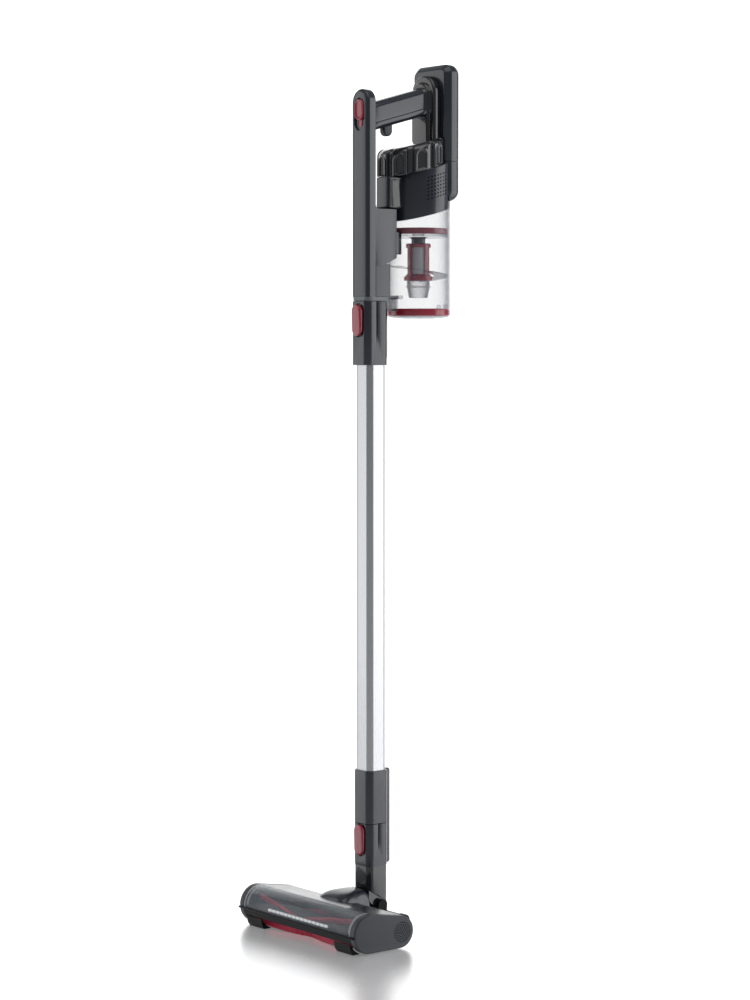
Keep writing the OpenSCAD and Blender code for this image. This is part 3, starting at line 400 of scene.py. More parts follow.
@dataclass(frozen=True)
class Plastic(Finish):
    """Moulded plastic."""

    name: str
    colour: Colour
    roughness: float
    coat: float = 0.0
    coat_roughness: float = 0.05
    specular: float = 0.5
    grain: float = 0.012
    grain_scale: float = 2600.0
    tint: float = 0.02
    smudge: float = 0.10
    metallic: float = 0.0
    glow: float = 0.0

    def material(self, effects: Effects) -> bpy.types.Material:
        """Makes the material from the shared effects."""
        plain = {"Coat Weight": self.coat, "Coat Roughness": self.coat_roughness,
                 "Specular IOR Level": self.specular, "Metallic": self.metallic,
                 "Emission Color": rgba((1.0, 1.0, 1.0)), "Emission Strength": self.glow}
        return self.build(effects, "moulded", MM, plain, Base=rgba(self.colour), Tint=self.tint,
                          Grain_Scale=self.grain_scale, Grain=self.grain, Roughness=self.roughness,
                          Smudge=self.smudge)[0]


@dataclass(frozen=True)
class Metal(Finish):
    """Drawn, turned or anodised metal."""

    name: str
    colour: Colour
    shade: Colour
    roughness: float
    stretch: Point = (900.0, 900.0, 14.0)
    streak: float = 0.10
    metallic: float = 1.0

    def material(self, effects: Effects) -> bpy.types.Material:
        """Makes the material from the shared effects."""
        return self.build(effects, "drawn", 0.02 * MM, {"Metallic": self.metallic}, Base=rgba(self.colour),
                          Shade=rgba(self.shade), Stretch=self.stretch, Roughness=self.roughness,
                          Streak=self.streak)[0]


@dataclass(frozen=True)
class Clear(Finish):
    """Clear or smoked plastic, thin enough to see straight through, which closes up at grazing angles."""

    name: str
    colour: Colour
    body: float
    rim: float
    roughness: float = 0.06
    dust: float = 0.03
    rim_power: float = 2.2

    def material(self, effects: Effects) -> bpy.types.Material:
        """Makes the material from the shared effects, and sets how much it covers."""
        material, wires, shader, film = self.build(effects, "haze", 0.2 * MM,
                                                   {"Base Color": rgba(self.colour)},
                                                   Roughness=self.roughness, Dust=self.dust)
        facing = wires.add("ShaderNodeLayerWeight", Blend=0.5).outputs["Facing"]
        rim = wires.maths("MULTIPLY", wires.maths("POWER", facing, self.rim_power), self.rim)
        solid = wires.maths("ADD", wires.maths("ADD", rim, self.body), film.outputs["Dust"])
        wires.feed(shader.inputs["Alpha"], wires.maths("MINIMUM", solid, 1.0))
        return material


@dataclass(frozen=True)
class Woven(Finish):
    """Cloth, foam or wire mesh with crossed threads."""

    name: str
    colour: Colour
    gap: Colour
    pitch: float
    metallic: float = 0.0
    roughness: float = 0.8

    def material(self, effects: Effects) -> bpy.types.Material:
        """Makes the material from the shared effects."""
        plain = {"Metallic": self.metallic, "Roughness": self.roughness}
        return self.build(effects, "woven", 0.1 * MM, plain, Base=rgba(self.colour),
                          Gap_Colour=rgba(self.gap), Pitch=self.pitch * MM)[0]


@dataclass(frozen=True)
class Bristle(Finish):
    """Dyed nylon bristle."""

    name: str
    colour: Colour
    tip: Colour
    roughness: float = 0.55

    def material(self, effects: Effects) -> bpy.types.Material:
        """Makes the material from the shared effects."""
        return self.build(effects, "bristle", 0.15 * MM, {"Roughness": self.roughness},
                          Base=rgba(self.colour),
                          Tip=rgba(self.tip))[0]


class Look(Enum):
    """The finishes of the real pieces."""

    SATIN = Plastic("anthracite_satin", (0.011, 0.016, 0.027), 0.25, coat=0.35, coat_roughness=0.16)
    MATT = Plastic("anthracite_matt", (0.018, 0.022, 0.032), 0.42, grain=0.02, grain_scale=1800.0)
    GLOSS = Plastic("dark_gloss", (0.008, 0.009, 0.012), 0.14, coat=0.5, grain=0.004, smudge=0.08)
    BLACK = Plastic("black_moulding", (0.003, 0.003, 0.004), 0.36, specular=0.10, grain=0.02)
    PALE = Plastic("pale_grey", (0.16, 0.18, 0.20), 0.35)
    RED = Plastic("crimson_gloss", (0.33, 0.008, 0.034), 0.22, coat=0.6, grain=0.006, tint=0.01)
    RED_DEEP = Plastic("crimson_ring", (0.30, 0.008, 0.030), 0.20, coat=0.4, grain=0.004, tint=0.02)
    RUBBER = Plastic("black_rubber", (0.012, 0.012, 0.013), 0.62, specular=0.3, grain=0.03)
    LIGHT = Plastic("lamp_board", (0.22, 0.23, 0.25), 0.35, grain=0.01)
    LAMP = Plastic("lamp_chip", (0.80, 0.82, 0.85), 0.25, grain=0.004, glow=0.55)
    BOARD = Plastic("circuit_board", (0.02, 0.10, 0.05), 0.35, grain=0.02, grain_scale=900.0)
    CELL = Plastic("cell_wrap", (0.03, 0.08, 0.30), 0.30, coat=0.4)
    TUBE = Metal("satin_tube", (0.49, 0.50, 0.52), (0.42, 0.43, 0.45), 0.22, metallic=0.9)
    STEEL = Metal("turned_steel", (0.62, 0.62, 0.64), (0.40, 0.40, 0.42), 0.28)
    MOTOR = Metal("motor_can", (0.50, 0.50, 0.52), (0.32, 0.32, 0.34), 0.35)
    ALLOY = Metal("impeller_alloy", (0.72, 0.73, 0.75), (0.55, 0.56, 0.58), 0.25)
    CHROME = Plastic("dark_chrome", (0.016, 0.018, 0.022), 0.10, coat=1.0, grain=0.002, smudge=0.05)
    WINDOW = Clear("window_clear", (0.30, 0.33, 0.37), 0.16, 0.55, roughness=0.08)
    BORDER = Clear("window_border", (0.62, 0.65, 0.69), 0.55, 0.35, roughness=0.25)
    BIN = Clear("bin_clear", (0.30, 0.32, 0.38), 0.10, 0.75, roughness=0.05)
    BAFFLE = Clear("bin_inner_clear", (0.20, 0.21, 0.27), 0.10, 0.95, roughness=0.06, rim_power=1.4)
    CLOTH = Woven("filter_cloth", (0.020, 0.020, 0.024), (0.006, 0.006, 0.006), 0.9)
    FOAM = Woven("filter_foam", (0.20, 0.21, 0.23), (0.05, 0.05, 0.06), 1.6)
    MESH = Woven("wire_mesh", (0.80, 0.81, 0.84), (0.20, 0.21, 0.23), 0.9, metallic=0.15, roughness=0.38)
    BRISTLE = Bristle("red_bristle", (0.55, 0.015, 0.06), (0.80, 0.06, 0.13))


class Wardrobe:
    """Makes each look's material at its first use."""

    BY_SLOT = {
        Slot.BLACK: Look.BLACK, Slot.ANTHRACITE: Look.SATIN, Slot.DARK: Look.GLOSS,
        Slot.CLEAR_WINDOW: Look.WINDOW, Slot.CLEAR_BIN: Look.BIN, Slot.RED: Look.RED,
        Slot.BRISTLE: Look.BRISTLE, Slot.LIGHT: Look.LIGHT, Slot.STEEL: Look.STEEL,
        Slot.MOTOR: Look.MOTOR, Slot.TUBE: Look.TUBE, Slot.BELT: Look.RUBBER, Slot.WHEEL: Look.RUBBER,
        Slot.COLLAR: Look.PALE, Slot.CLOTH: Look.CLOTH, Slot.FOAM: Look.FOAM, Slot.BOARD: Look.BOARD,
        Slot.CELL: Look.CELL, Slot.MESH: Look.MESH, Slot.ALLOY: Look.ALLOY, Slot.CABLE: Look.RUBBER,
    }

    BY_NODE = {"tilt_pins": Look.BLACK, "exhaust_grilles": Look.SATIN, "elbow": Look.GLOSS}

    def __init__(self) -> None:
        """Starts with no materials."""
        self.effects = Effects()
        self.made: dict[Look, bpy.types.Material] = {}

    def material(self, look: Look) -> bpy.types.Material:
        """Finds a look's material.

        Args:
            look: the look.

        Returns:
            Its material.
        """
        if look not in self.made:
            self.made[look] = look.value.material(self.effects)
        return self.made[look]

    def dress(self, piece: bpy.types.Object, look: Look) -> None:
        """Gives a piece one material."""
        piece.data.materials.clear()
        piece.data.materials.append(self.material(look))

    def dress_frame(self) -> None:
        """Gives every CAD node the finish of its slot."""
        for part in frame["record"]["subparts"]:
            node = frame["nodes"][part["node"]]
            self.dress(node, self.BY_NODE.get(part["node"], self.BY_SLOT[Slot(part["material_slot"])]))


WARDROBE = Wardrobe()


# ---- outlines ----
def round_rect(width: float, depth: float, radius: float, inset: float = 0.0, centre: Pair = (0.0, 0.0),
               steps: int = 8) -> Outline:
    """A rectangle with round corners.

    Args:
        width: its size along the first axis.
        depth: its size along the second axis.
        radius: its corner radius.
        inset: how far the outline is moved in.
        centre: its middle.
        steps: the segments in each corner.

    Returns:
        The outline's points.
    """
    radius = max(radius - inset, 0.2)
    half_w, half_d = width / 2 - inset - radius, depth / 2 - inset - radius
    points = []
    for side_x, side_y, start in ((1, 1, 0), (-1, 1, 90), (-1, -1, 180), (1, -1, 270)):
        for k in range(steps + 1):
            angle = math.radians(start + 90 * k / steps)
            points.append((centre[0] + side_x * half_w + radius * math.cos(angle),
                           centre[1] + side_y * half_d + radius * math.sin(angle)))
    return points


def pill(width: float, height: float, inset: float = 0.0, centre: Pair = (0.0, 0.0),
         steps: int = 16) -> Outline:
    """An upright pill.

    Args:
        width: its width.
        height: its height.
        inset: how far the outline is moved in.
        centre: its middle.
        steps: the segments in each half circle.

    Returns:
        The outline's points.
    """
    radius, reach = width / 2 - inset, (height - width) / 2
    points = []
    for side, start in ((1, 0), (-1, 180)):
        for k in range(steps + 1):
            angle = math.radians(start + 180 * k / steps)
            points.append((centre[0] + radius * math.cos(angle),
                           centre[1] + side * reach + radius * math.sin(angle)))
    return points


def tombstone(half: float, base: float, apex: float, inset: float = 0.0, steps: int = 24) -> Outline:
    """An upright slab's outline with a half-round top and a straight foot that isn't moved in.

    Args:
        half: half its width.
        base: the height of its foot.
        apex: the height of its top.
        inset: how far its sides and top are moved in.
        steps: the segments in the half circle.

    Returns:
        The outline's points.
    """
    radius, centre = half - inset, apex - half
    arch = [(radius * math.cos(math.pi * k / steps), centre + radius * math.sin(math.pi * k / steps))
            for k in range(steps + 1)]
    return [(-radius, base), (radius, base), *arch]


def rims(start: float, end: float, r_start: float, r_end: float, steps: int = 5) -> list[Pair]:
    """Levels between two ends, with a quarter round at each.

    Args:
        start: the first end's position.
        end: the other end's position.
        r_start: the first rim's radius.
        r_end: the other rim's radius.
        steps: the segments in each rim.

    Returns:
        Pairs of inset and position.
    """
    way = 1 if end > start else -1
    quarter = [math.radians(90 * k / steps) for k in range(steps + 1)]
    first = [(r_start * (1 - math.sin(a)), start + way * r_start * (1 - math.cos(a))) for a in quarter]
    last = [(r_end * (1 - math.sin(a)), end - way * r_end * (1 - math.cos(a))) for a in reversed(quarter)]
    return first + last


def upright(u: float, v: float, level: float) -> Point:
    """Places an outline drawn in X and Y at a height."""
    return (u, v, level)


def facing_front(u: float, v: float, level: float) -> Point:
    """Places an outline drawn in X and Z at a depth along Y."""
    return (u, level, v)


def sideways(u: float, v: float, level: float) -> Point:
    """Places an outline drawn in Y and Z at a place along X."""
    return (level, u, v)


# ---- meshes ----
def finish_mesh(name: str, mesh: bpy.types.Mesh, smooth: float) -> bpy.types.Object:
    """Turns a mesh into an object with outward normals and smooth shading.

    Args:
        name: the piece's name.
        mesh: its mesh.
        smooth: the angle in degrees past which an edge stays sharp.

    Returns:
        The object.
    """
    work = bmesh.new()
    work.from_mesh(mesh)
    bmesh.ops.remove_doubles(work, verts=work.verts, dist=1e-7)
    bmesh.ops.recalc_face_normals(work, faces=work.faces)
    work.to_mesh(mesh)
    work.free()
    mesh.shade_smooth()
    mesh.set_sharp_from_angle(angle=math.radians(smooth))
    piece = bpy.data.objects.new(name, mesh)
    bpy.context.scene.collection.objects.link(piece)
    return piece


def from_faces(name: str, points: Sequence[Point], faces: Sequence[Sequence[int]],
               smooth: float = 34.0) -> bpy.types.Object:
    """Makes a piece from points in millimetres.

    Args:
        name: the piece's name.
        points: its points.
        faces: its faces.
        smooth: the angle in degrees past which an edge stays sharp.

    Returns:
        The object.
    """
    mesh = bpy.data.meshes.new(name)
    mesh.from_pydata([(x * MM, y * MM, z * MM) for x, y, z in points], [], faces)
    return finish_mesh(name, mesh, smooth)


def skin(name: str, rings: Sequence[Sequence[Point]], closed: bool = False,
         smooth: float = 34.0) -> bpy.types.Object:
    """Joins rings of points into a closed piece.

    Args:
        name: the piece's name.
        rings: loops with equal numbers of points.
        closed: whether the last ring joins the first one, in place of two end faces.
        smooth: the angle in degrees past which an edge stays sharp.

    Returns:
        The object.
    """
    count = len(rings[0])
    points = [point for ring in rings for point in ring]
    faces: list[list[int]] = []
    for r in range(len(rings) if closed else len(rings) - 1):
        here, there = r * count, (r + 1) % len(rings) * count
        for k in range(count):
            nxt = (k + 1) % count
            faces.append([here + k, here + nxt, there + nxt, there + k])
    if not closed:
        last = (len(rings) - 1) * count
        faces.append(list(range(count)))
        faces.append([last + k for k in range(count)])
    return from_faces(name, points, faces, smooth)


def stack(name: str, outline_at: Callable[[float], Outline], levels: Sequence[Pair], place: Placer,
          smooth: float = 34.0) -> bpy.types.Object:
    """Stacks insets of one outline, given as pairs of inset and position, into a closed piece."""
    return skin(name, [[place(u, v, level) for u, v in outline_at(inset)] for inset, level in levels],
                smooth=smooth)


def lathe(name: str, profile: Sequence[Pair], centre: Pair, segments: int = 128,
          closed: bool = True) -> bpy.types.Object:
    """Turns a profile of radius and height about an upright axis.

    Args:
        name: the piece's name.
        profile: pairs of radius and height.
        centre: the axis, in X and Y.
        segments: the segments round the axis.
        closed: whether the profile is a closed loop, in place of two end faces.

    Returns:
        The object.
    """
    rings = [[(centre[0] + radius * math.cos(math.tau * k / segments),
               centre[1] + radius * math.sin(math.tau * k / segments), height) for k in range(segments)]
             for radius, height in profile]
    return skin(name, rings, closed=closed)


def wand_cutter(section: Point, z0: float, z1: float) -> bpy.types.Object:
    """An upright cutter about the wand's axis, with a section's width, depth and corner."""
    return prism("cutter", round_rect(*section, 0.0, (0.0, WAND_Y)), z0, z1, upright)


def hollow_spigot(name: str, foot: float, top: float, airway_top: float) -> bpy.types.Object:
    """Builds a spigot about the wand's axis.

    Args:
        name: the piece's name.
        foot: the height of its foot.
        top: the height of its top.
        airway_top: where the airway through it ends.

    Returns:
        The spigot.
    """
    spigot = stack(name, lambda inset: round_rect(*SPIGOT, inset, (0.0, WAND_Y)), rims(foot, top, 1.2, 0.2),
                   upright)
    return combine(spigot, [wand_cutter(AIRWAY, foot - 1.0, airway_top)], "DIFFERENCE")


def prism(name: str, outline: Outline, start: float, end: float, place: Placer) -> bpy.types.Object:
    """A plain prism, used as a cutter or before its edges are softened."""
    return stack(name, lambda inset: outline, [(0.0, start), (0.0, end)], place)


def brick(name: str, x0: float, x1: float, y0: float, y1: float, z0: float, z1: float) -> bpy.types.Object:
    """A plain block, used as a cutter or before its edges are softened."""
    return prism(name, [(x0, y0), (x1, y0), (x1, y1), (x0, y1)], z0, z1, upright)


def rod(name: str, radius: float, x0: float, x1: float, y: float, z: float, segments: int = 48,
        rim: float = 0.4) -> bpy.types.Object:
    """A rod along X with round rims.

    Args:
        name: the piece's name.
        radius: its radius.
        x0: where it starts.
        x1: where it ends.
        y: its axis along Y.
        z: its axis along Z.
        segments: the segments round it.
        rim: the radius of its rims.

    Returns:
        The object.
    """
    def circle(inset: float) -> Outline:
        """The rod's outline."""
        return [(y + (radius - inset) * math.cos(math.tau * k / segments),
                 z + (radius - inset) * math.sin(math.tau * k / segments)) for k in range(segments)]
    return stack(name, circle, rims(x0, x1, rim, rim, 3), sideways)


def settle_modifiers(piece: bpy.types.Object, smooth: float = 34.0) -> None:
    """Applies a piece's modifiers to its mesh.

    Args:
        piece: the piece.
        smooth: the angle in degrees past which an edge stays sharp.
    """
    graph = bpy.context.evaluated_depsgraph_get()
    mesh = bpy.data.meshes.new_from_object(piece.evaluated_get(graph))
    piece.modifiers.clear()
    piece.data = mesh
    mesh.shade_smooth()
    mesh.set_sharp_from_angle(angle=math.radians(smooth))


def combine(piece: bpy.types.Object, others: Sequence[bpy.types.Object], operation: str) -> bpy.types.Object:
    """Joins or cuts a piece with others, and removes them.

    Args:
        piece: the piece that stays.
        others: the pieces to join or cut with.
        operation: UNION, DIFFERENCE or INTERSECT.

    Returns:
        The piece.
    """
    for other in others:
        step = piece.modifiers.new(operation.lower(), "BOOLEAN")
        step.operation, step.object, step.solver = operation, other, "EXACT"
    settle_modifiers(piece)
    for other in others:
        bpy.data.objects.remove(other)
    return piece


def soften(piece: bpy.types.Object, width: float, segments: int = 3, angle: float = 40.0) -> bpy.types.Object:
    """Rounds a piece's sharp edges.

    Args:
        piece: the piece.
        width: the rounding's width in millimetres.
        segments: its segments.
        angle: the angle in degrees past which an edge is rounded.

    Returns:
        The piece.
    """
    step = piece.modifiers.new("soften", "BEVEL")
    step.width, step.segments = width * MM, segments
    step.limit_method, step.angle_limit = "ANGLE", math.radians(angle)
    settle_modifiers(piece)
    return piece


def gather(name: str, pieces: Sequence[bpy.types.Object]) -> bpy.types.Object:
    """Joins separate solids into one piece, without cutting them.

    Args:
        name: the new piece's name.
        pieces: the solids.

    Returns:
        The piece.
    """
    work = bmesh.new()
    for piece in pieces:
        work.from_mesh(piece.data)
        bpy.data.objects.remove(piece)
    mesh = bpy.data.meshes.new(name)
    work.to_mesh(mesh)
    work.free()
    mesh.shade_smooth()
    mesh.set_sharp_from_angle(angle=math.radians(34.0))
    joined = bpy.data.objects.new(name, mesh)
    bpy.context.scene.collection.objects.link(joined)
    return joined


def hand_over(piece: bpy.types.Object, body: str, slot: Slot, look: Look, *nodes: str) -> bpy.types.Object:
    """Dresses a finished piece, sets it on its body and lets it stand for CAD nodes.

    Args:
        piece: the piece.
        body: the body that it rides on.
        slot: the record's material slot.
        look: its look.
        *nodes: the CAD nodes that it stands for.

    Returns:
        The piece.
    """
    WARDROBE.dress(piece, look)
    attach(piece, body)
    if nodes:
        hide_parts(*nodes)
    LOG.info("%s on %s: %d faces", piece.name, body, len(piece.data.polygons))
    return piece


# ---- the wand and the neck ----
@dataclass
class ReleaseButton:
    """A crimson pill-shaped release button with a dished waist."""

    name: str
    node: str
    body: str
    dish: float = 0.42
    sunk: float = 2.0

    def build(self) -> bpy.types.Object:
        """Builds the button over its CAD node.

        Returns:
            The button.
        """
        box = Box.of(self.node)
        out = box.depth - self.sunk
        profile = [(0.0, 0.0), (0.0, 0.45), (0.18, 0.66), (0.7, 0.82), (1.6, 0.92), (3.2, 0.98), (5.6, 1.0),
                   (8.4, 1.0)]

        def place(u: float, v: float, level: float) -> Point:
            """Places a point of the button, whose face leans and has a waist."""
            share = (v - box.z_mid) / (box.height / 2)
            waist = self.dish * math.exp(-((share + 0.12) / 0.33) ** 2)
            lean = 0.86 + 0.14 * share
            return (u, box.y1 - self.sunk - level * out * (lean - waist * max(0.0, level - 0.45)), v)

        button = stack(self.name, lambda inset: pill(box.width, box.height, inset, (0.0, box.z_mid), 20),
                       [(0.0, -0.25), *profile], place, smooth=50.0)
        return hand_over(button, self.body, Slot.RED, Look.RED, self.node)


@dataclass
class SocketShell:
    """What the neck, the lower fitting and the upper socket share: a square column with round corners."""

    corner: float = 9.0
    rim: float = 0.8
    recess_play: float = 1.6
    recess_depth: float = 3.4
    slot_width: float = 2.2
    slot_depth: float = 1.3
    slot_taper: float = 16.0

    def column(self, name: str, width: float, y0: float, y1: float, z0: float, z1: float) -> bpy.types.Object:
        """Builds the column from its width, front, rear, foot and top."""
        return stack(name, lambda inset: round_rect(width, y1 - y0, self.corner, inset, (0.0, (y0 + y1) / 2),
                                                    10),
                     rims(z0, z1, self.rim, self.rim), upright)

    def rail(self, rear: float, y1: float, z0: float, z1: float, r_low: float,
             r_high: float) -> bpy.types.Object:
        """Builds the rear rail.

        Args:
            rear: the column's rear face, which the rail is sunk into.
            y1: the rail's rear.
            z0: its foot.
            z1: its top.
            r_low: the rounding of its foot.
            r_high: the rounding of its top.

        Returns:
            The rail.
        """
        y0 = rear - RAIL_SUNK
        return stack("rail", lambda inset: round_rect(RAIL_WIDTH, y1 - y0, 3.4, inset, (0.0, (y0 + y1) / 2),
                                                      6),
                     rims(z0, z1, r_low, r_high), upright)

    def recess(self, button: Box, front: float) -> bpy.types.Object:
        """Makes the cutter for a release button's recess.

        Args:
            button: the button's box.
            front: the column's front face.

        Returns:
            The cutter.
        """
        play = self.recess_play
        return stack("cutter", lambda inset: pill(button.width, button.height, inset, (0.0, button.z_mid),
                                                  20),
                     [(-play - 3.0, front - 3.0), (-play, front), (-play + 0.9, front + 1.0),
                      (-0.5, front + self.recess_depth)], facing_front)

    def side_slots(self, half: float, y: float, z0: float, z1: float,
                   taper_low: bool) -> list[bpy.types.Object]:
        """Makes the cutters for the two side slots, which run out to a point.

        Args:
            half: half the column's width.
            y: the slots' middle.
            z0: their lower end.
            z1: their upper end.
            taper_low: whether the lower end is the pointed one.

        Returns:
            The cutters.
        """
        reach, half_slot = self.slot_taper, self.slot_width / 2
        if taper_low:
            shape = [(y - half_slot, z1), (y - half_slot, z0 + reach), (y, z0), (y + half_slot, z0 + reach),
                     (y + half_slot, z1)]
        else:
            shape = [(y - half_slot, z0), (y + half_slot, z0), (y + half_slot, z1 - reach), (y, z1),
                     (y - half_slot, z1 - reach)]
        return [prism("cutter", shape, side * (half - self.slot_depth), side * (half + 3.0), sideways)
                for side in (-1, 1)]


@dataclass
class Neck(SocketShell):
    """The square neck above the swivel seam, with its glossy foot, rear rail and release button."""

    foot_inset: float = 0.7
    seam_height: float = 44.2
    seam_slope: float = math.tan(math.radians(31.3))

    def build(self) -> None:
        """Builds the sleeve, the foot and the button."""
        box, button = Box.of("neck_socket"), Box.of("neck_button")
        half = box.width / 2
        front, rear = WAND_Y - half, WAND_Y + half
        step = button.z0 - 14.0
        sleeve = self.column("neck_sleeve", box.width, front, rear, step, box.z1)
        rail = self.rail(rear, box.y1, step, box.z1, 3.0, 0.5)
        combine(sleeve, [rail], "UNION")
        combine(sleeve, [self.recess(button, front),
                         *self.side_slots(half, WAND_Y - 1.0, 107.0, box.z1 + 1.0, True),
                         wand_cutter(BORE, box.z1 - BORE_DEPTH, box.z1 + 2.0)], "DIFFERENCE")
        soften(sleeve, 0.5, 2)
        hand_over(sleeve, "neck", Slot.ANTHRACITE, Look.SATIN, "neck_socket")
        hand_over(self.foot(box, step), "neck", Slot.ANTHRACITE, Look.GLOSS)
        ReleaseButton("neck_release_button", "neck_button", "neck_release").build()

    def foot(self, box: Box, top: float) -> bpy.types.Object:
        """Builds the foot between the oblique seam and the sleeve.

        Args:
            box: the neck's box.
            top: the sleeve's lower edge.

        Returns:
            The foot.
        """
        def at(inset: float) -> Outline:
            """The foot's outline."""
            return round_rect(box.width, box.width, self.corner, inset + self.foot_inset, (0.0, WAND_Y), 10)

        rings = [[(u, v, self.seam_height - (v - WAND_Y) * self.seam_slope + rise) for u, v in at(inset)]
                 for inset, rise in ((1.2, 0.0), (0.35, 0.25), (0.0, 1.1))]
        rings += [[(u, v, level) for u, v in at(0.0)] for level in (top - 7.0, top + 0.5)]
        return skin("neck_foot", rings)


@dataclass
class Wand(SocketShell):
    """The silver tube between its lower fitting and its upper socket."""

    wall: float = 1.4
    tube_corner: float = 8.0

    def build(self) -> None:
        """Builds the fitting, the tube, the socket and its button."""
        self.build_fitting()
        self.build_tube()
        self.build_socket()
        ReleaseButton("wand_release_button", "wand_button", "wand_release").build()

    def build_fitting(self) -> None:
        """Builds the lower fitting with its rail and its spigot."""
        box, neck = Box.of("lower_fitting"), Box.of("neck_socket")
        half, foot = box.width / 2, neck.z1 + SEAM_GAP
        shell = self.column("tube_fitting", box.width, WAND_Y - half, WAND_Y + half, foot, box.z1)
        rail = self.rail(WAND_Y + half, box.y1, foot, box.z1, 0.5, 3.2)
        combine(shell, [rail], "UNION")
        seat = wand_cutter(TUBE_SEAT, box.z1 - SEAT_DEPTH, box.z1 + 1.0)
        combine(shell, [seat, *self.side_slots(half, WAND_Y - 1.0, foot - 1.0, foot + 9.0, False)],
                "DIFFERENCE")
        soften(shell, 0.4, 2)
        hand_over(shell, "wand", Slot.ANTHRACITE, Look.SATIN, "lower_fitting")
        spigot = hollow_spigot("fitting_spigot", box.z0, foot + 2.0, foot + 1.0)
        hand_over(spigot, "wand", Slot.ANTHRACITE, Look.BLACK)

    def build_tube(self) -> None:
        """Builds the hollow tube with its anodised skin."""
        box = Box.of("wand_tube")

        def at(inset: float) -> Outline:
            """The tube's outline."""
            return round_rect(box.width, box.depth, self.tube_corner, inset, (0.0, box.y_mid), 14)

        rings = [[upright(u, v, z) for u, v in at(inset)]
                 for inset, z in ((0.0, box.z0), (0.0, box.z1), (self.wall, box.z1), (self.wall, box.z0))]
        hand_over(skin("silver_tube", rings, closed=True), "wand", Slot.TUBE, Look.TUBE, "wand_tube")

    def build_socket(self) -> None:
        """Builds the upper socket with its rear strip, recess and side slots."""
        box, button = Box.of("upper_socket"), Box.of("wand_button")
        half = box.width / 2
        front, rear = box.y0, WAND_Y + half
        shell = self.column("tube_socket", box.width, front, rear, box.z0, box.z1)
        strip = self.rail(rear, box.y1, box.z0 + 8.0, box.z1, 3.4, 0.5)
        combine(shell, [strip], "UNION")
        seat = wand_cutter(TUBE_SEAT, box.z0 - 1.0, box.z0 + SEAT_DEPTH)
        bore = wand_cutter(BORE, box.z1 - BORE_DEPTH, box.z1 + 2.0)
        combine(shell, [seat, bore, self.recess(button, front),
                        *self.side_slots(half, WAND_Y - 4.0, box.z0 + 27.5, box.z1 + 1.0, True)],
                "DIFFERENCE")
        soften(shell, 0.5, 2)
        hand_over(shell, "wand", Slot.ANTHRACITE, Look.SATIN, "upper_socket")


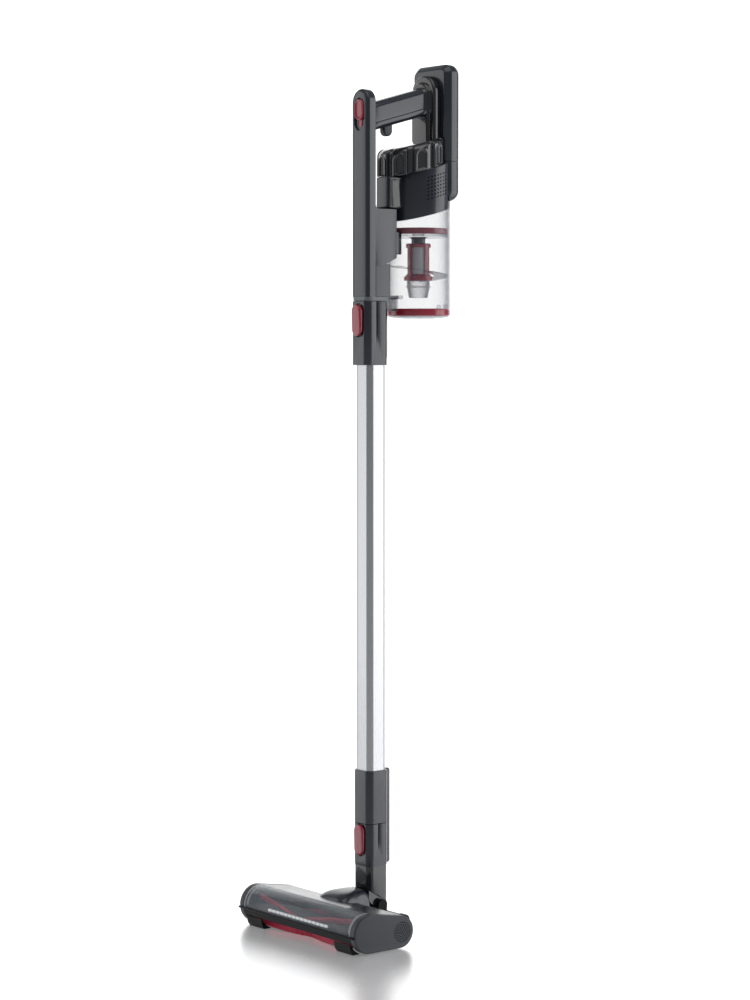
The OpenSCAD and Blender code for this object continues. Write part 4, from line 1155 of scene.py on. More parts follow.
# ---- the handheld unit ----
@dataclass
class Spine:
    """The long front strut with its domed top, collar and power switch."""

    corner: float = 6.0
    crown_power: float = 3.2
    recess_width: float = 20.4
    recess_depth: float = 3.2
    switch_travel: float = 12.0

    def build(self) -> None:
        """Builds the collar, the strut, the switch's track and the switch."""
        self.build_collar()
        self.build_strut()
        self.build_switch()

    def build_collar(self) -> None:
        """Builds the pale band at the spine's foot and its spigot."""
        box, foot = Box.of("handheld_collar"), Box.of("upper_socket").z1 + SEAM_GAP

        def at(inset: float) -> Outline:
            """The collar's outline."""
            return round_rect(box.width, box.depth, 9.0, inset, (0.0, box.y_mid), 10)

        band = stack("collar_band", at, rims(foot, box.z1, 0.6, 0.5, 3), upright)
        groove = stack("cutter", at, [(-2.0, foot + 2.1), (-2.0, foot + 2.7)], upright)
        core = stack("core", at, [(0.5, foot + 1.8), (0.5, foot + 3.0)], upright)
        combine(band, [groove], "DIFFERENCE")
        combine(band, [core], "UNION")
        hand_over(band, "handheld", Slot.COLLAR, Look.PALE, "handheld_collar")
        spigot = hollow_spigot("collar_spigot", box.z0, foot + 1.0, foot + 2.0)
        hand_over(spigot, "handheld", Slot.COLLAR, Look.BLACK)

    def build_strut(self) -> None:
        """Builds the strut, whose front is gently convex."""
        box, switch = Box.of("spine"), Box.of("power_switch")
        half, swell = box.width / 2, self.corner
        levels = [(half - half * math.cos(a) ** (2 / self.crown_power),
                   box.y0 + swell * (1 - math.sin(a) ** (2 / self.crown_power)))
                  for a in (math.radians(x) for x in (80, 70, 60, 50, 42, 34, 27, 20, 14, 9, 5, 2, 0.4))]
        levels += [(0.0, box.y1 - 1.0), (0.1, box.y1 - 0.5), (0.4, box.y1 - 0.1), (0.9, box.y1)]
        strut = stack("spine_strut", lambda inset: tombstone(half, box.z0, box.z1, inset, 36), levels,
                      facing_front)
        floor = box.y0 + self.recess_depth
        centre = (0.0, switch.z_mid - self.switch_travel / 2)
        recess = stack("cutter", lambda inset: pill(self.recess_width,
                                                    switch.height + self.switch_travel + 1.4, inset, centre,
                                                    20),
                       [(-2.6, box.y0 - 2.0), (-0.7, box.y0 + 0.3), (0.0, box.y0 + 1.2), (0.2, floor)],
                       facing_front)
        slots = [prism("cutter", [(WAND_Y - 5.1, box.z0 - 1.0), (WAND_Y - 2.9, box.z0 - 1.0),
                                  (WAND_Y - 3.0, box.z0 + 5.0),
                                  (WAND_Y - 4.0, box.z0 + 9.0)], side * (half - 1.2), side * (half + 2.0),
                       sideways)
                 for side in (-1, 1)]
        combine(strut, [recess, *slots], "DIFFERENCE")
        hand_over(strut, "handheld", Slot.ANTHRACITE, Look.SATIN, "spine")
        track = stack("switch_track", lambda inset: pill(9.0, switch.height + 6.0, inset, centre, 16),
                      [(0.0, floor + 0.1), (0.0, floor - 0.6), (0.5, floor - 0.9)], facing_front)
        hand_over(track, "handheld", Slot.RED, Look.RED_DEEP)

    def build_switch(self) -> None:
        """Builds the crimson slide switch, with its raised rim and its dish."""
        box = Box.of("power_switch")
        levels = [(0.0, 0.0), (0.0, 1.3), (0.5, 2.1), (1.3, 2.45), (2.1, 2.3), (3.0, 1.7), (4.6, 1.35),
                  (6.8, 1.25), (8.4, 1.3)]
        highest = 2.45

        def place(u: float, v: float, level: float) -> Point:
            """Places a point of the knob, scaled to stand as proud as its CAD node."""
            return (u, box.y1 - level * box.depth / highest, v)

        knob = stack("power_slider", lambda inset: pill(box.width, box.height, inset, (0.0, box.z_mid), 24),
                     levels, place,
                     smooth=60.0)
        hand_over(knob, "power_control", Slot.RED, Look.RED, "power_switch")


@dataclass
class Duct:
    """The air duct between the spine and the dust bin."""

    half: float = 17.5
    gap_round: float = 5.0
    box_foot: float = 41.0
    box_depth: float = 31.0
    stem_depth: float = 22.0
    stem_width: float = 32.0

    def build(self) -> None:
        """Builds the upper box, whose top closes the finger gap, and the lower stem."""
        box, spine = Box.of("inlet_duct"), Box.of("spine")
        bin_box = Box.of("bin_shell")
        start, top = spine.y1 - 1.5, box.z1
        back = WAND_Y + self.box_depth
        bend = [(start + 1.5 + self.gap_round * (1 - math.sin(a)), top + self.gap_round * (1 - math.cos(a)))
                for a in (math.radians(90 * k / 8) for k in range(8, -1, -1))]
        low = SPINE_FOOT + self.box_foot
        outline = [(start, low), (WAND_Y + 7.0, low), (back, low + 11.0), (back, top),
                   *reversed(bend), (start, top + self.gap_round)]
        upper = prism("duct_box", outline, -self.half, self.half, sideways)
        barrel = lathe("cutter", [(0.01, low - 5.0), (bin_box.width / 2 + 0.3, low - 5.0),
                                  (bin_box.width / 2 + 0.3, top + 40.0), (0.01, top + 40.0)],
                       (0.0, self.axis_y()), closed=False)
        combine(upper, [barrel], "DIFFERENCE")
        soften(upper, 1.2, 3)
        hand_over(upper, "handheld", Slot.ANTHRACITE, Look.SATIN, "inlet_duct")
        stem_back = WAND_Y + self.stem_depth
        stem = stack("duct_stem", lambda inset: round_rect(self.stem_width, stem_back - start, 3.0, inset,
                                                           (0.0, (start + stem_back) / 2), 6),
                     rims(SPINE_FOOT, low + 3.0, 0.5, 0.2), upright)
        hand_over(stem, "handheld", Slot.ANTHRACITE, Look.SATIN)
        port = soften(brick("duct_port", -13.5, 13.5, back - 2.0, self.axis_y() - 40.4, SPINE_FOOT + 57.0,
                            SPINE_FOOT + 87.0), 0.8)
        hand_over(port, "handheld", Slot.ANTHRACITE, Look.GLOSS)

    def axis_y(self) -> float:
        """The dust bin's axis along Y."""
        return Box.of("bin_ring").y_mid


@dataclass
class Housing:
    """The motor housing, raked below and above, with its nose and its dark exhaust plates."""

    wall: float = 2.5

    def build(self) -> None:
        """Builds the drum and the nose."""
        box = Box.of("motor_housing")
        radius, axis = box.width / 2, Box.of("bin_ring").y_mid
        low, high = BIN_TOP, CROWN_FOOT - SEAM_GAP

        def level(height: float, middle: float, inset: float, lift: float) -> list[Point]:
            """One raked ring of the drum."""
            return [(x, y, height + (y - middle) * RAKE + lift) for x, y in self.circle(radius - inset, axis)]

        rings = [level(low, axis, *rim) for rim in ((1.4, 0.0), (0.5, 0.1), (0.12, 0.45), (0.0, 1.2))]
        rings += [level(high, MOTOR_Y, *rim) for rim in ((0.0, -1.4), (0.2, -0.6), (0.7, -0.12), (1.5, 0.0))]
        drum = skin("housing_drum", rings)
        inner = [level(low, axis, self.wall, 8.0), level(high, MOTOR_Y, self.wall, -2.5)]
        grille = Box.of("exhaust_grilles")
        g0, g1 = grille.y0 - 0.1, grille.y1 + 0.1
        rise = (g1 - g0) / 2 * RAKE
        half = (grille.height - 2 * rise) / 2
        window = [(g0, grille.z_mid - half - rise), (g1, grille.z_mid - half + rise),
                  (g1, grille.z_mid + half + rise), (g0, grille.z_mid + half - rise)]
        sides = [prism("cutter", window, side * (radius - 14.0), side * (radius + 2.0),
                       sideways) for side in (-1, 1)]
        battery = Box.of("battery_base")
        flat = brick("cutter", -60.0, 60.0, battery.y0 - 0.3, battery.y1 + 40.0, battery.z0 - 0.3,
                     box.z1 + 40.0)
        combine(drum, [skin("cutter", inner), *sides, flat], "DIFFERENCE")
        hand_over(drum, "handheld", Slot.ANTHRACITE, Look.SATIN, "motor_housing")
        self.build_nose()

    def circle(self, radius: float, axis: float, steps: int = 160) -> Outline:
        """A circle about the housing's axis."""
        return [(radius * math.cos(math.tau * k / steps), axis + radius * math.sin(math.tau * k / steps))
                for k in range(steps)]

    def build_nose(self) -> None:
        """Builds the box on the housing's front, with its dark cheeks."""
        y0, y1 = WAND_Y + 20.0, WAND_Y + 66.0
        foot, top = SPINE_FOOT + 117.6, SPINE_FOOT + 160.2
        nose = stack("housing_nose", lambda inset: round_rect(28.0, y1 - y0, 3.2, inset, (0.0, (y0 + y1) / 2),
                                                              6),
                     rims(foot, top, 3.4, 1.6, 5), upright)
        hand_over(nose, "handheld", Slot.ANTHRACITE, Look.SATIN)
        for side, name in ((-1, "nose_cheek_left"), (1, "nose_cheek_right")):
            outline = round_rect(y1 - y0 - 9.0, top - foot - 6.0, 2.5, 0.0, ((y0 + y1) / 2, (foot + top) / 2),
                                 5)
            cheek = prism(name, outline, side * 12.0, side * 14.35, sideways)
            hand_over(soften(cheek, 0.3, 2), "handheld", Slot.DARK, Look.GLOSS)


@dataclass
class Crown:
    """The ring of glossy pods above the motor housing."""

    pods: int = 9
    turn: float = 20.0
    shoulder: float = 7.0
    valley: float = 5.0
    half_pod: float = 13.6
    window_half: float = 8.0
    window_depth: float = 2.2
    proud: float = 2.4
    wall_radius: float = 43.5
    bead: float = 0.75
    sill: float = 2.4
    height: float = 35.8
    steps: int = 540
    rows: int = 60

    def blend(self, low: float, high: float, value: float) -> float:
        """A smooth step from 0 at low to 1 at high."""
        share = min(1.0, max(0.0, (value - low) / (high - low)))
        return share * share * (3 - 2 * share)

    def depth(self, angle: float, rise: float) -> float:
        """How far the wall lies inside the crown's radius.

        Args:
            angle: the angle round the crown, in degrees.
            rise: the height above the crown's foot.

        Returns:
            The depth.
        """
        pitch = 360 / self.pods
        off = abs((angle - self.turn + pitch / 2) % pitch - pitch / 2)
        gap = self.valley * self.blend(self.half_pod - 1.2, self.half_pod + 2.6, off)
        arch_top = self.height * 0.76
        reach, half = (math.radians(a) * self.wall_radius for a in (off, self.window_half))
        if rise > arch_top - half:
            edge = math.hypot(reach, rise - (arch_top - half)) - half
        else:
            edge = reach - half
        edge = max(edge, self.sill - rise)
        window = self.window_depth * (1 - self.blend(-1.0, 0.5, edge))
        bead = self.bead * math.exp(-((edge - 1.5) / 0.8) ** 2) * (1 - self.blend(0.0, 1.0,
                                                                                  gap / self.valley))
        return gap + window - bead + self.bead - self.proud

    def build(self) -> None:
        """Builds the crown as one finely shaped wall with a rounded shoulder and a raked top."""
        radius, back = Box.of("crown").width / 2, Box.of("dock").y1 - 0.2
        rings = [self.ring(radius, (self.height - self.shoulder) * row / self.rows, 0.0, back)
                 for row in range(self.rows + 1)]
        for k in range(1, 13):
            turn = math.radians(90 * k / 12)
            inset = self.shoulder * 1.15 * (1 - math.cos(turn))
            rise = self.height - self.shoulder + self.shoulder * math.sin(turn)
            rings.append(self.ring(radius, rise, inset, back))
        rim = rings[-1]
        for share in (0.72, 0.5, 0.25, 0.02):
            rings.append([(x * share, MOTOR_Y + (y - MOTOR_Y) * share,
                           CROWN_FOOT + self.height + (MOTOR_Y + (y - MOTOR_Y) * share - MOTOR_Y) * RAKE)
                          for x, y, _ in rim])
        crown = skin("pod_crown", rings, smooth=60.0)
        hand_over(crown, "handheld", Slot.DARK, Look.CHROME, "crown")

    def ring(self, radius: float, rise: float, inset: float, back: float) -> list[Point]:
        """One ring of the wall.

        Args:
            radius: the crown's radius.
            rise: the ring's height above the foot.
            inset: how far the shoulder has moved in.
            back: the flat rear that the wall stops at.

        Returns:
            The ring's points.
        """
        points = []
        fade = max(0.0, 1 - inset / self.shoulder)
        for k in range(self.steps):
            angle = 360 * k / self.steps
            here = radius - inset - self.depth(angle, rise) * fade - self.bead * (1 - fade)
            y = min(back, MOTOR_Y + here * math.sin(math.radians(angle)))
            points.append((here * math.cos(math.radians(angle)), y, CROWN_FOOT + rise + (y - MOTOR_Y) * RAKE))
        return points


@dataclass
class Handle:
    """The raked grip with its trigger, and the dock that the battery slides on."""

    width: float = 29.0
    tall: float = 36.0
    lower: float = 10.0
    bevel: float = 5.5
    seam: float = 0.5
    rise: float = 237.4

    def upright_half(self) -> float:
        """Half the grip's height, measured upright through the raked bar."""
        return self.tall / 2 / math.cos(math.atan(RAKE))

    def centre(self, y: float) -> float:
        """The height of the grip's centre line."""
        return SPINE_FOOT + self.rise + (y - Box.of("spine").y1) * RAKE

    def section(self, inset: float, upper: bool) -> Outline:
        """The outline of one grip shell, in X and height from the centre line.

        Args:
            inset: how far the outline is moved in.
            upper: whether it is the upper shell.

        Returns:
            The outline's points.
        """
        half, tall = self.width / 2 - inset, self.upright_half()
        cut = -tall + self.lower
        if upper:
            top, bevel = tall - inset, self.bevel
            right = [(half, cut + self.seam / 2 + inset), (half, top - bevel - 2.2),
                     (half - 0.35, top - bevel - 0.9),
                     (half - 1.2, top - bevel + 0.5), (half - bevel + 0.6, top - 1.3),
                     (half - bevel - 0.9, top - 0.4),
                     (half - bevel - 2.6, top)]
            return right + [(-x, v) for x, v in reversed(right)]
        radius, low = 8.5, -tall + inset
        arc = [(half - radius + radius * math.cos(a), low + radius - radius * math.sin(a))
               for a in (math.radians(90 * k / 8) for k in range(9))]
        right = [(half, cut - self.seam / 2 - inset * 0.2), *arc]
        return right + [(-x, v) for x, v in reversed(right)]

    def bar(self, name: str, y0: float, y1: float, upper: bool, end: float) -> bpy.types.Object:
        """Builds one grip shell along the raked line.

        Args:
            name: the piece's name.
            y0: where it starts.
            y1: where it ends.
            upper: whether it is the upper shell.
            end: the radius that its rear end is rounded to.

        Returns:
            The shell.
        """
        rings = []
        for inset, y in [(0.0, y0), *[(0.0, y0 + (y1 - end - y0) * k / 6) for k in range(1, 7)],
                         *[(end * (1 - math.cos(a)), y1 - end + end * math.sin(a))
                           for a in (math.radians(90 * k / 6) for k in range(1, 7))]]:
            rings.append([(u, y, self.centre(y) + v) for u, v in self.section(inset, upper)])
        return skin(name, rings, smooth=30.0)

    def build(self) -> None:
        """Builds both shells, the seam's core, the trigger, the dock and its collar."""
        spine, dock = Box.of("spine"), Box.of("dock")
        start, end = spine.y1 - 2.5, WAND_Y + 82.5
        upper = soften(self.bar("grip_shell_upper", start, end, True, 2.5), 0.8, 3, 25.0)
        hand_over(upper, "handheld", Slot.ANTHRACITE, Look.SATIN, "grip_upper")
        lower = self.bar("grip_shell_lower", start, end, False, 2.5)
        tip = Box.of("trigger")
        pocket, gap = (brick("cutter", tip.x0 - 0.5, tip.x1 + 0.5, tip.y0 - 0.5, tip.y1 + 0.5, tip.z0 - drop,
                             tip.z1 + 6.0)
                       for drop in (5.0, 9.0))
        combine(lower, [pocket], "DIFFERENCE")
        hand_over(soften(lower, 0.5, 2), "handheld", Slot.ANTHRACITE, Look.SATIN, "grip_lower")
        plan = round_rect(self.width - 1.6, 6.0, 1.0, 0.0, (0.0, -self.upright_half() + self.lower))
        core = skin("grip_seam_core", [[(u, y, self.centre(y) + v) for u, v in plan] for y in (start,
                                                                                               end - 3.0)])
        hand_over(combine(core, [gap], "DIFFERENCE"), "handheld", Slot.BLACK, Look.BLACK)
        self.build_trigger(tip)
        self.build_dock(dock, end)

    def build_trigger(self, box: Box) -> None:
        """Builds the D-shaped trigger tab.

        Args:
            box: the trigger's box.
        """
        radius = box.depth / 2

        def outline(inset: float) -> Outline:
            """The tab's outline, straight above and half round below."""
            r = radius - inset
            arc = [(box.y_mid - r * math.cos(a), box.z0 + radius - r * math.sin(a))
                   for a in (math.radians(180 * k / 20) for k in range(21))]
            return [(box.y_mid - r, box.z1), *arc, (box.y_mid + r, box.z1)]

        tab = stack("trigger_tab", outline, rims(box.x0, box.x1, 2.2, 2.2), sideways)
        hand_over(tab, "trigger_lever", Slot.ANTHRACITE, Look.MATT, "trigger")

    def build_dock(self, box: Box, grip_end: float) -> None:
        """Builds the arched dock plate, its inner arch and the flared collar round the grip.

        Args:
            box: the dock's box.
            grip_end: where the grip's shells end.
        """
        plate_front = box.y1 - 11.4
        plate = stack("dock_plate", lambda inset: tombstone(box.x1, CROWN_FOOT, box.z1, inset, 36),
                      rims(plate_front, box.y1, 3.6, 0.6), facing_front)
        hand_over(plate, "handheld", Slot.DARK, Look.GLOSS, "dock")
        arch = stack("dock_arch", lambda inset: tombstone(17.5, CROWN_FOOT + 20.0, box.z1 - 9.0, inset, 36),
                     rims(plate_front - 6.0, plate_front + 2.0, 4.2, 0.2), facing_front)
        hand_over(arch, "handheld", Slot.DARK, Look.GLOSS)
        rings = []
        for grow, y in ((0.3, grip_end - 2.6), (0.9, grip_end - 1.6), (1.1, grip_end + 0.5),
                        (1.6, grip_end + 2.6),
                        (2.6, plate_front - 3.4), (4.4, plate_front - 0.6), (5.6, plate_front + 1.0)):
            tall = self.tall / math.cos(math.atan(RAKE))
            rings.append([(u, y, self.centre(y) + v)
                          for u, v in round_rect(self.width + 2 * grow, tall + 2 * grow, 8.5 + grow, 0.0,
                                                 (0.0, 0.0), 8)])
        hand_over(skin("dock_collar", rings, smooth=50.0), "handheld", Slot.DARK, Look.GLOSS)


@dataclass
class Battery:
    """The battery pack: case above the seam, base below it, jack and latch."""

    corner: float = 13.0
    bevel: float = 7.0
    seam: float = 0.5

    def build(self) -> None:
        """Builds the case and the base, which meet at a fine seam."""
        case, base = Box.of("battery_case"), Box.of("battery_base")
        for name, low, high, node in (("battery_shell_upper", case.z0 + self.seam / 2, case.z1 + 5.0,
                                       "battery_case"),
                                      ("battery_shell_lower", base.z0 - 5.0, base.z1 - self.seam / 2,
                                       "battery_base")):
            shell = self.body(name, case, base)
            keep = brick("cutter", -80.0, 80.0, case.y0 - 20.0, case.y1 + 20.0, low, high)
            combine(shell, [keep], "INTERSECT")
            if node == "battery_base":
                latch, jack = Box.of("battery_latch"), Box.of("charging_jack")
                pocket = soften(brick("cutter", latch.x0 - 0.4, latch.x1 + 0.4, latch.y0 - 2.5,
                                      latch.y1 + 5.0,
                                      latch.z0 - 0.4, latch.z1 + 0.4), 1.0)
                hole = rod("cutter", jack.depth / 2, jack.x0 - 2.0, jack.x0 + 9.0, jack.y_mid, jack.z_mid)
                combine(shell, [pocket, hole], "DIFFERENCE")
            hand_over(soften(shell, 0.35, 2, 50.0), "battery", Slot.ANTHRACITE, Look.SATIN, node)
        self.build_latch()

    def body(self, name: str, case: Box, base: Box) -> bpy.types.Object:
        """Builds the whole pack's outer shape.

        Args:
            name: the piece's name.
            case: the upper case's box.
            base: the lower case's box.

        Returns:
            The shape.
        """
        tall, z_mid = case.z1 - base.z0, (case.z1 + base.z0) / 2
        front, back = case.y0, case.y1
        levels = [(self.bevel + 1.2, front), (self.bevel + 0.2, front + 0.12),
                  (self.bevel - 0.5, front + 0.55)]
        levels += [(0.5, front + self.bevel - 0.6), (0.12, front + self.bevel + 0.3),
                   (0.0, front + self.bevel + 1.4)]
        levels += [(self.corner * (1 - math.cos(a)), back - self.corner + self.corner * math.sin(a))
                   for a in (math.radians(90 * k / 12) for k in range(13))]
        levels[-1] = (self.corner - 0.8, back)
        return stack(name, lambda inset: round_rect(case.width, tall, self.corner + 1.0, inset, (0.0, z_mid),
                                                    12),
                     levels, facing_front, smooth=24.0)

    def build_latch(self) -> None:
        """Builds the latch button with its grip ribs."""
        box = Box.of("battery_latch")
        plate = soften(brick("latch_plate", box.x0, box.x1, box.y0, box.y1 - 0.6, box.z0, box.z1), 0.9)
        ribs = [soften(brick("rib", box.x0 + 3.0, box.x1 - 3.0, box.y1 - 1.2, box.y1, box.z0 + 2.2 + 2.4 * k,
                             box.z0 + 3.2 + 2.4 * k), 0.3, 2) for k in range(3)]
        hand_over(gather("battery_latch_button", [plate, *ribs]), "battery_release", Slot.DARK, Look.BLACK,
                  "battery_latch")


# ---- the dust bin ----
@dataclass
class DustBin:
    """The clear bin with its crimson rings and the cyclone inside it."""

    wall: float = 2.2
    cage_radius: float = 17.0
    ramp_start: float = -115.0
    ramp_turn: float = 250.0
    ramp_fall: float = 20.0

    def build(self) -> None:
        """Builds the shell, the rings, the cyclone, the lid and the latch."""
        self.axis = (0.0, Box.of("bin_ring").y_mid)
        self.build_shell()
        self.build_inside()
        self.build_lid()
        self.build_latch()

    def build_shell(self) -> None:
        """Builds the clear cylinder with its raked top, hinge ears and latch ears."""
        radius, foot = Box.of("motor_housing").width / 2, Box.of("bin_lid").z1 + SEAM_GAP
        top, axis = BIN_TOP - SEAM_GAP, self.axis[1]

        def ring(r: float, raked: bool, z: float) -> list[Point]:
            """One ring of the cylinder, level or raked."""
            points = []
            for k in range(160):
                px, py = r * math.cos(math.tau * k / 160), axis + r * math.sin(math.tau * k / 160)
                points.append((px, py, z + (py - axis) * RAKE if raked else z))
            return points

        inner = radius - self.wall
        rings = [ring(radius - 0.5, False, foot), ring(radius, False, foot + 0.5),
                 ring(radius, True, top - 0.4),
                 ring(radius - 0.4, True, top), ring(inner + 0.4, True, top), ring(inner, True, top - 0.4),
                 ring(inner, False, foot + 0.5), ring(inner + 0.5, False, foot)]
        shell = skin("clear_bin", rings, closed=True)
        port = brick("cutter", -11.0, 11.0, axis - radius - 5.0, axis - 20.0, SPINE_FOOT + 60.0,
                     SPINE_FOOT + 84.0)
        combine(shell, [port], "DIFFERENCE")
        hand_over(shell, "dust_bin", Slot.CLEAR_BIN, Look.BIN, "bin_shell")
        pin, catch = Box.of("lid_hinge_pin"), Box.of("bin_latch")
        hinge = (5.4, 8.9, (pin.y_mid - 2.8, pin.y_mid + 2.8, pin.z_mid - 2.4, foot + 6.0), 1.2)
        clasp = (12.5, 14.5, (catch.y0 - 0.1, axis - radius + 4.5, catch.z1 - 5.0, catch.z1 + 0.2), 0.6)
        ears = [soften(brick("ear", *sorted((side * near, side * far)), *rest), edge)
                for near, far, rest, edge in (hinge, clasp) for side in (-1, 1)]
        hand_over(gather("bin_ears", ears), "dust_bin", Slot.CLEAR_BIN, Look.BAFFLE)

    def build_inside(self) -> None:
        """Builds the sealing ring, the separator, the cyclone's frame, mesh, cone and inlet ramp."""
        ring, plate = Box.of("bin_ring"), Box.of("cyclone_plate")
        body, mesh = Box.of("cyclone_frame"), Box.of("cyclone_mesh")
        r = ring.width / 2
        seal = lathe("crimson_seal", [(r, ring.z0 + 0.6), (r, ring.z1 - 0.6), (r - 0.6, ring.z1),
                                      (r - 5.4, ring.z1),
                                      (r - 6.0, ring.z1 - 0.6), (r - 6.0, ring.z0 + 0.6), (r - 5.4, ring.z0),
                                      (r - 0.6, ring.z0)], self.axis)
        hand_over(seal, "dust_bin", Slot.RED, Look.RED_DEEP, "bin_ring")
        neck = lathe("separator_neck", [(9.5, body.z1 - 0.5), (9.5, plate.z1 - 6.0), (13.0, plate.z1 - 3.4),
                                        (8.0, plate.z1 - 3.2), (7.5, plate.z1 - 6.0), (7.5, body.z1 - 0.5)],
                     self.axis)
        hand_over(neck, "dust_bin", Slot.DARK, Look.GLOSS)
        sheet = lathe("separator_sheet", [(r, plate.z1 - 3.8), (r, plate.z1 - 0.4), (r - 0.4, plate.z1 - 0.1),
                                          (8.0, plate.z1 - 0.1), (8.0, plate.z1 - 2.6),
                                          (20.0, plate.z1 - 3.0)], self.axis)
        hand_over(sheet, "dust_bin", Slot.CLEAR_BIN, Look.BAFFLE, "cyclone_plate")
        self.build_cage(body)
        wire = lathe("cyclone_wire", [(mesh.width / 2, mesh.z0), (mesh.width / 2, mesh.z1),
                                      (mesh.width / 2 - 0.6, mesh.z1),
                                      (mesh.width / 2 - 0.6, mesh.z0)], self.axis)
        hand_over(wire, "dust_bin", Slot.MESH, Look.MESH, "cyclone_mesh")
        cone = Box.of("cyclone_cone")
        skirt = lathe("cyclone_skirt", [(15.6, cone.z1), (15.6, cone.z1 - 7.0), (17.0, cone.z1 - 7.6),
                                        (17.0, cone.z1 - 8.6),
                                        (15.4, cone.z1 - 9.2), (13.0, cone.z0 + 1.0), (12.4, cone.z0),
                                        (11.0, cone.z0),
                                        (11.4, cone.z0 + 1.4), (13.8, cone.z1 - 9.0), (14.0, cone.z1)],
                      self.axis)
        hand_over(skirt, "dust_bin", Slot.CLEAR_BIN, Look.BAFFLE, "cyclone_cone")
        self.build_ramp(body)

    def build_cage(self, box: Box) -> None:
        """Builds the crimson cage, with four windows over the mesh.

        Args:
            box: the cage's box.
        """
        radius = self.cage_radius
        cage = lathe("cyclone_cage", [(19.7, box.z0 + 0.5), (19.7, box.z0 + 5.4), (19.2, box.z0 + 6.0),
                                      (radius, box.z0 + 6.4),
                                      (radius, box.z1 - 1.0), (radius - 1.0, box.z1), (7.5, box.z1),
                                      (7.5, box.z1 - 3.0),
                                      (radius - 2.0, box.z1 - 3.0), (radius - 2.0, box.z0), (19.2, box.z0)],
                     self.axis, 96)
        cutters = []
        for angle in (0.0, 90.0):
            cut = brick("cutter", -radius * 0.52, radius * 0.52, -30.0, 30.0, box.z0 + 8.5, box.z1 - 5.5)
            cut.data.transform(Matrix.Rotation(math.radians(angle + 51.0), 4, "Z"))
            cut.data.transform(Matrix.Translation((self.axis[0] * MM, self.axis[1] * MM, 0.0)))
            cutters.append(cut)
        combine(cage, cutters, "DIFFERENCE")
        hand_over(soften(cage, 0.35, 2, 50.0), "dust_bin", Slot.RED, Look.RED, "cyclone_frame")

    def build_ramp(self, box: Box) -> None:
        """Builds the clear inlet ramp, which winds part of the way round the cage.

        Args:
            box: the cage's box.
        """
        x, y = self.axis
        rings, steps = [], 48
        for k in range(steps + 1):
            share = k / steps
            angle = math.radians(self.ramp_start + self.ramp_turn * share)
            z = box.z0 + 19.0 - self.ramp_fall * share
            rings.append([(x + r * math.cos(angle), y + r * math.sin(angle), z + dz)
                          for r, dz in ((21.5, 0.0), (40.6, 0.0), (40.6, 1.2), (21.5, 1.2))])
        hand_over(skin("inlet_ramp", rings), "dust_bin", Slot.CLEAR_BIN, Look.BAFFLE)

    def build_lid(self) -> None:
        """Builds the crimson lid ring with its hinge barrel, and the clear dish under it."""
        box, pin = Box.of("bin_lid"), Box.of("lid_hinge_pin")
        radius, ring_z = Box.of("motor_housing").width / 2, box.z1 - 9.5
        ring = lathe("lid_ring", [(radius - 1.2, ring_z), (radius - 0.2, ring_z + 1.0),
                                  (radius, ring_z + 2.2),
                                  (radius, box.z1 - 1.4), (radius - 0.7, box.z1 - 0.6),
                                  (radius - 0.7, box.z1),
                                  (radius - 3.4, box.z1), (radius - 3.4, ring_z + 1.8),
                                  (radius - 6.0, ring_z + 1.8),
                                  (radius - 6.0, ring_z)], self.axis, 160)
        notch = [brick("cutter", -9.4, 9.4, self.axis[1] + radius - 6.0, 200.0, ring_z - 9.0, box.z1 + 9.0),
                 brick("cutter", -13.0, 13.0, -20.0, Box.of("bin_latch").y1 + 0.9, ring_z - 9.0,
                       box.z1 + 9.0)]
        combine(ring, notch, "DIFFERENCE")
        barrel = rod("barrel", 2.8, -5.0, 5.0, pin.y_mid, pin.z_mid)
        web = soften(brick("web", -5.0, 5.0, self.axis[1] + radius - 9.0, pin.y_mid, ring_z + 0.4,
                           pin.z_mid + 2.2), 0.6)
        combine(ring, [barrel, web], "UNION")
        hand_over(ring, "bin_floor", Slot.RED, Look.RED_DEEP, "bin_lid")
        dish = lathe("lid_dish", [(radius - 2.6, ring_z + 0.6), (radius - 2.6, ring_z - 0.6),
                                  (radius - 4.0, ring_z - 1.6),
                                  (radius - 12.0, ring_z - 3.0), (radius - 24.0, ring_z - 3.8),
                                  (0.4, ring_z - 3.95),
                                  (0.4, ring_z - 2.0), (radius - 24.0, ring_z - 1.8),
                                  (radius - 12.0, ring_z - 0.9),
                                  (radius - 5.0, ring_z + 0.6)], self.axis, 128)
        hand_over(dish, "bin_floor", Slot.CLEAR_BIN, Look.BORDER)

    def build_latch(self) -> None:
        """Builds the clear latch with its ribs, over a crimson bar."""
        box = Box.of("bin_latch")
        plate = soften(brick("plate", -11.6, 11.6, box.y0 + 1.2, box.y0 + 3.2, box.z0 + 0.4, box.z1 - 3.0),
                       0.7)
        lip = soften(brick("lip", -11.6, 11.6, box.y0 + 0.1, box.y0 + 3.6, box.z1 - 5.0, box.z1), 1.0)
        ribs = [soften(brick("rib", x - 0.8, x + 0.8, box.y0 + 0.1, box.y0 + 2.0, box.z0 + 2.0, box.z1 - 4.0),
                       0.5, 2)
                for x in (-7.5, -2.5, 2.5, 7.5)]
        pins = [rod("pin", 1.5, box.x0 + 0.3, box.x1 - 0.3, box.y0 + 2.4, box.z1 - 2.6)]
        hand_over(gather("clear_latch", [plate, lip, *ribs, *pins]), "bin_catch", Slot.CLEAR_BIN, Look.BAFFLE,
                  "bin_latch")


